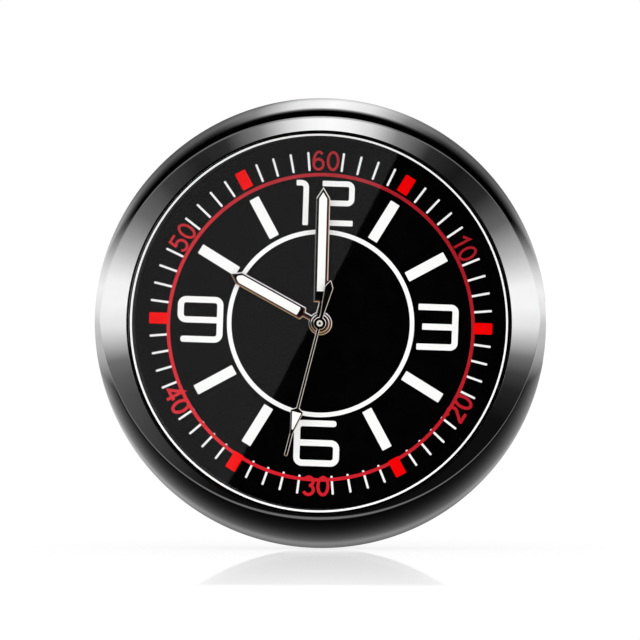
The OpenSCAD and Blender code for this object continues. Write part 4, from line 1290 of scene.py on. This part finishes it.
def flat_outline(bm, points, depth):
    """Face with an outline of (across, along) points at a depth, facing the viewer."""
    bm.faces.new([bm.verts.new((u * MM, -depth * MM, v * MM)) for u, v in points])
    bmesh.ops.remove_doubles(bm, verts=bm.verts, dist=DOUBLE * MM)
    face = bm.faces[:][0]
    face.normal_update()
    if face.normal.y > 0:
        bmesh.ops.reverse_faces(bm, faces=[face])
    return face


def raise_solid(bm, face, height):
    """Pull a face towards the viewer, with walls behind it."""
    raised = bmesh.ops.extrude_face_region(bm, geom=[face])["geom"]
    bmesh.ops.translate(bm, verts=verts_in(raised), vec=(0, -height * MM, 0))
    return [item for item in raised if isinstance(item, bmesh.types.BMFace)]


def turn_hand(bm, hand):
    """Turn a hand that points up to the time it shows."""
    turn = Matrix.Rotation(math.radians(hand["angle"]), 3, "Y")
    bmesh.ops.rotate(bm, verts=bm.verts, cent=(0, 0, 0), matrix=turn)


print("points of the second hand's blank:", len(hand_outline(SECOND)))

# %% [markdown]
# ## Blanks of the hands
# A blank is the outline with a thickness and a polished chamfer all round. A bevel would pinch at the
# sharp corners of a blade. An inset with a change of height keeps an even width there. The hour and the
# minute hand have two such steps, which catch a thin bright line and a darker one, and the slim second
# hand has one.

# %% Blanks
OUTER_SLOPE = math.tan(math.radians(20))
INNER_SLOPE = math.tan(math.radians(12))
PAINT_H = 0.02


def make_blank(name, hand):
    """Stamped blank with a bright chamfer round a lacquered face."""
    node = name + "_hand"
    _, rear, front = extent(node)
    steps = [(width, width * slope) for width, slope in zip(hand["rims"], (OUTER_SLOPE, INNER_SLOPE))]
    wall = front - PAINT_H - rear - sum(rise for _, rise in steps)
    bm = bmesh.new()
    tops = raise_solid(bm, flat_outline(bm, hand_outline(hand), rear), wall)
    for width, rise in steps:
        bmesh.ops.inset_region(bm, faces=tops, thickness=width * MM, depth=rise * MM, use_even_offset=True,
                               use_boundary=True)
    for face in tops:
        face.material_index = 1
    turn_hand(bm, hand)
    piece = finish_piece(name + "_blank", bm, hand_metal, name, "hand_black", node)
    piece.data.shade_flat()
    piece.data.materials.append(hand_lacquer)


for name, hand in HANDS.items():
    make_blank(name, hand)

# %% [markdown]
# ## Luminous paint
# The paint fills the middle of each hand as a low cushion. Its outline is filled like that of the blank.
# A vertex bevel rounds the corners, where a brush leaves no sharp point, and a small edge bevel rounds
# the rim.

# %% Luminous paint
PAINT_CORNER = 0.13
PAINT_CORNER_SEGMENTS = 4
PAINT_EDGE = 0.008
PAINT_EDGE_SEGMENTS = 2


def make_paint(name, hand):
    """Luminous paint on the face of a hand, with rounded corners."""
    _, _, front = extent(name + "_hand")
    bm = bmesh.new()
    flat_outline(bm, both_halves(hand["paint"]), front - PAINT_H)
    bmesh.ops.bevel(bm, geom=bm.verts[:], offset=PAINT_CORNER * MM, affect="VERTICES",
                    segments=PAINT_CORNER_SEGMENTS, profile=0.5, material=-1, clamp_overlap=True)
    raise_solid(bm, bm.faces[:][0], PAINT_H)
    bmesh.ops.remove_doubles(bm, verts=bm.verts, dist=DOUBLE * MM)
    hard = [edge for edge in bm.edges if edge.calc_face_angle(0) > HARD_EDGE]
    bmesh.ops.bevel(bm, geom=hard, offset=PAINT_EDGE * MM, affect="EDGES", segments=PAINT_EDGE_SEGMENTS,
                    profile=0.5, material=-1, clamp_overlap=True)
    turn_hand(bm, hand)
    finish_piece(name + "_paint", bm, lume_paint, name, "lume", name + "_hand_lume")


for name, hand in HANDS.items():
    make_paint(name, hand)

# %% [markdown]
# ## Collar of the second hand
# The second hand is pressed on its pin by a small bright collar. It is lathed with sloping sides like the
# chamfers, and the end of the pin shows as a dark dot in the middle. Both are too small for many steps.

# %% Collar and pin
COLLAR_R = 0.28
COLLAR_HOLE = 0.105
COLLAR_LAND = 0.09
COLLAR_RISE = 0.05
PIN_RISE = COLLAR_RISE / 3
COLLAR_STEPS = 48
PIN_STEPS = 32
_, _, second_front = extent("second_hand")
land_r = (COLLAR_R + COLLAR_HOLE + COLLAR_LAND) / 2
collar_foot = second_front - PAINT_H
collar_top = second_front + COLLAR_RISE
pin_end = second_front + PIN_RISE

collar_plate = moulded("collar_plate", (0.70, 0.67, 0.61), (0.78, 0.75, 0.69), (0.35, 0.45), grain=0.0005)
bm = bmesh.new()
lathe(bm, [(COLLAR_HOLE, collar_foot), (COLLAR_R, collar_foot), (land_r, collar_top),
           (land_r - COLLAR_LAND, collar_top)], COLLAR_STEPS)
finish_piece("second_collar", bm, collar_plate, "second", "hand_black")
bm = bmesh.new()
lathe(bm, [(0, collar_foot), (COLLAR_HOLE, collar_foot), (COLLAR_HOLE, pin_end), (0, pin_end)], PIN_STEPS)
finish_piece("second_pin", bm, hand_lacquer, "second", "hand_black")

# %% [markdown]
# ## Foam pad
# The pad at the back is a disc of closed-cell foam tape. Its edge bulges a little where it is pressed on.
# A cylinder with a bevel would round only the rims, so the edge is a shallow curve in the lathed outline.

# %% Foam pad
PAD_BULGE = 0.12
PAD_STEPS = 6
pad_r, pad_rear, pad_front = extent("adhesive_pad")
pad_h = pad_front - pad_rear
shares = [step / PAD_STEPS for step in range(PAD_STEPS + 1)]
pad_edge = [(pad_r - PAD_BULGE * (2 * share - 1) ** 2, pad_rear + pad_h * share) for share in shares]

bm = bmesh.new()
lathe(bm, [(0, pad_rear)] + pad_edge + [(0, pad_front)])
foam_pad = finish_piece("foam_pad", bm, foam, "back", "foam_tape", "adhesive_pad")

# %% [markdown]
# ## The solids that keep their shape
# The movement, the holder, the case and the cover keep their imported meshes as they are, because these
# already have the right form. Each gets the finish of its slot in the record, in one loop over the list
# of sub-parts.

# %% Finishes by slot
subparts = frame["record"]["subparts"]
for subpart in subparts:
    solid = nodes[subpart["node"]]
    solid.data.materials.clear()
    solid.data.materials.append(finishes[subpart["material_slot"]])
print(len(subparts), "solids have their finish")

# %% [markdown]
# ## Sizes of the finished model
# The looks must not change the size of the clock. The box of the finished model is printed, like the box
# of the solids at the start, so that the two can be compared.

# %% Sizes of the finished model
visual_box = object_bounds()
print("the finished box in mm is", [round(v / MM, 2) for v in visual_box[1] - visual_box[0]])
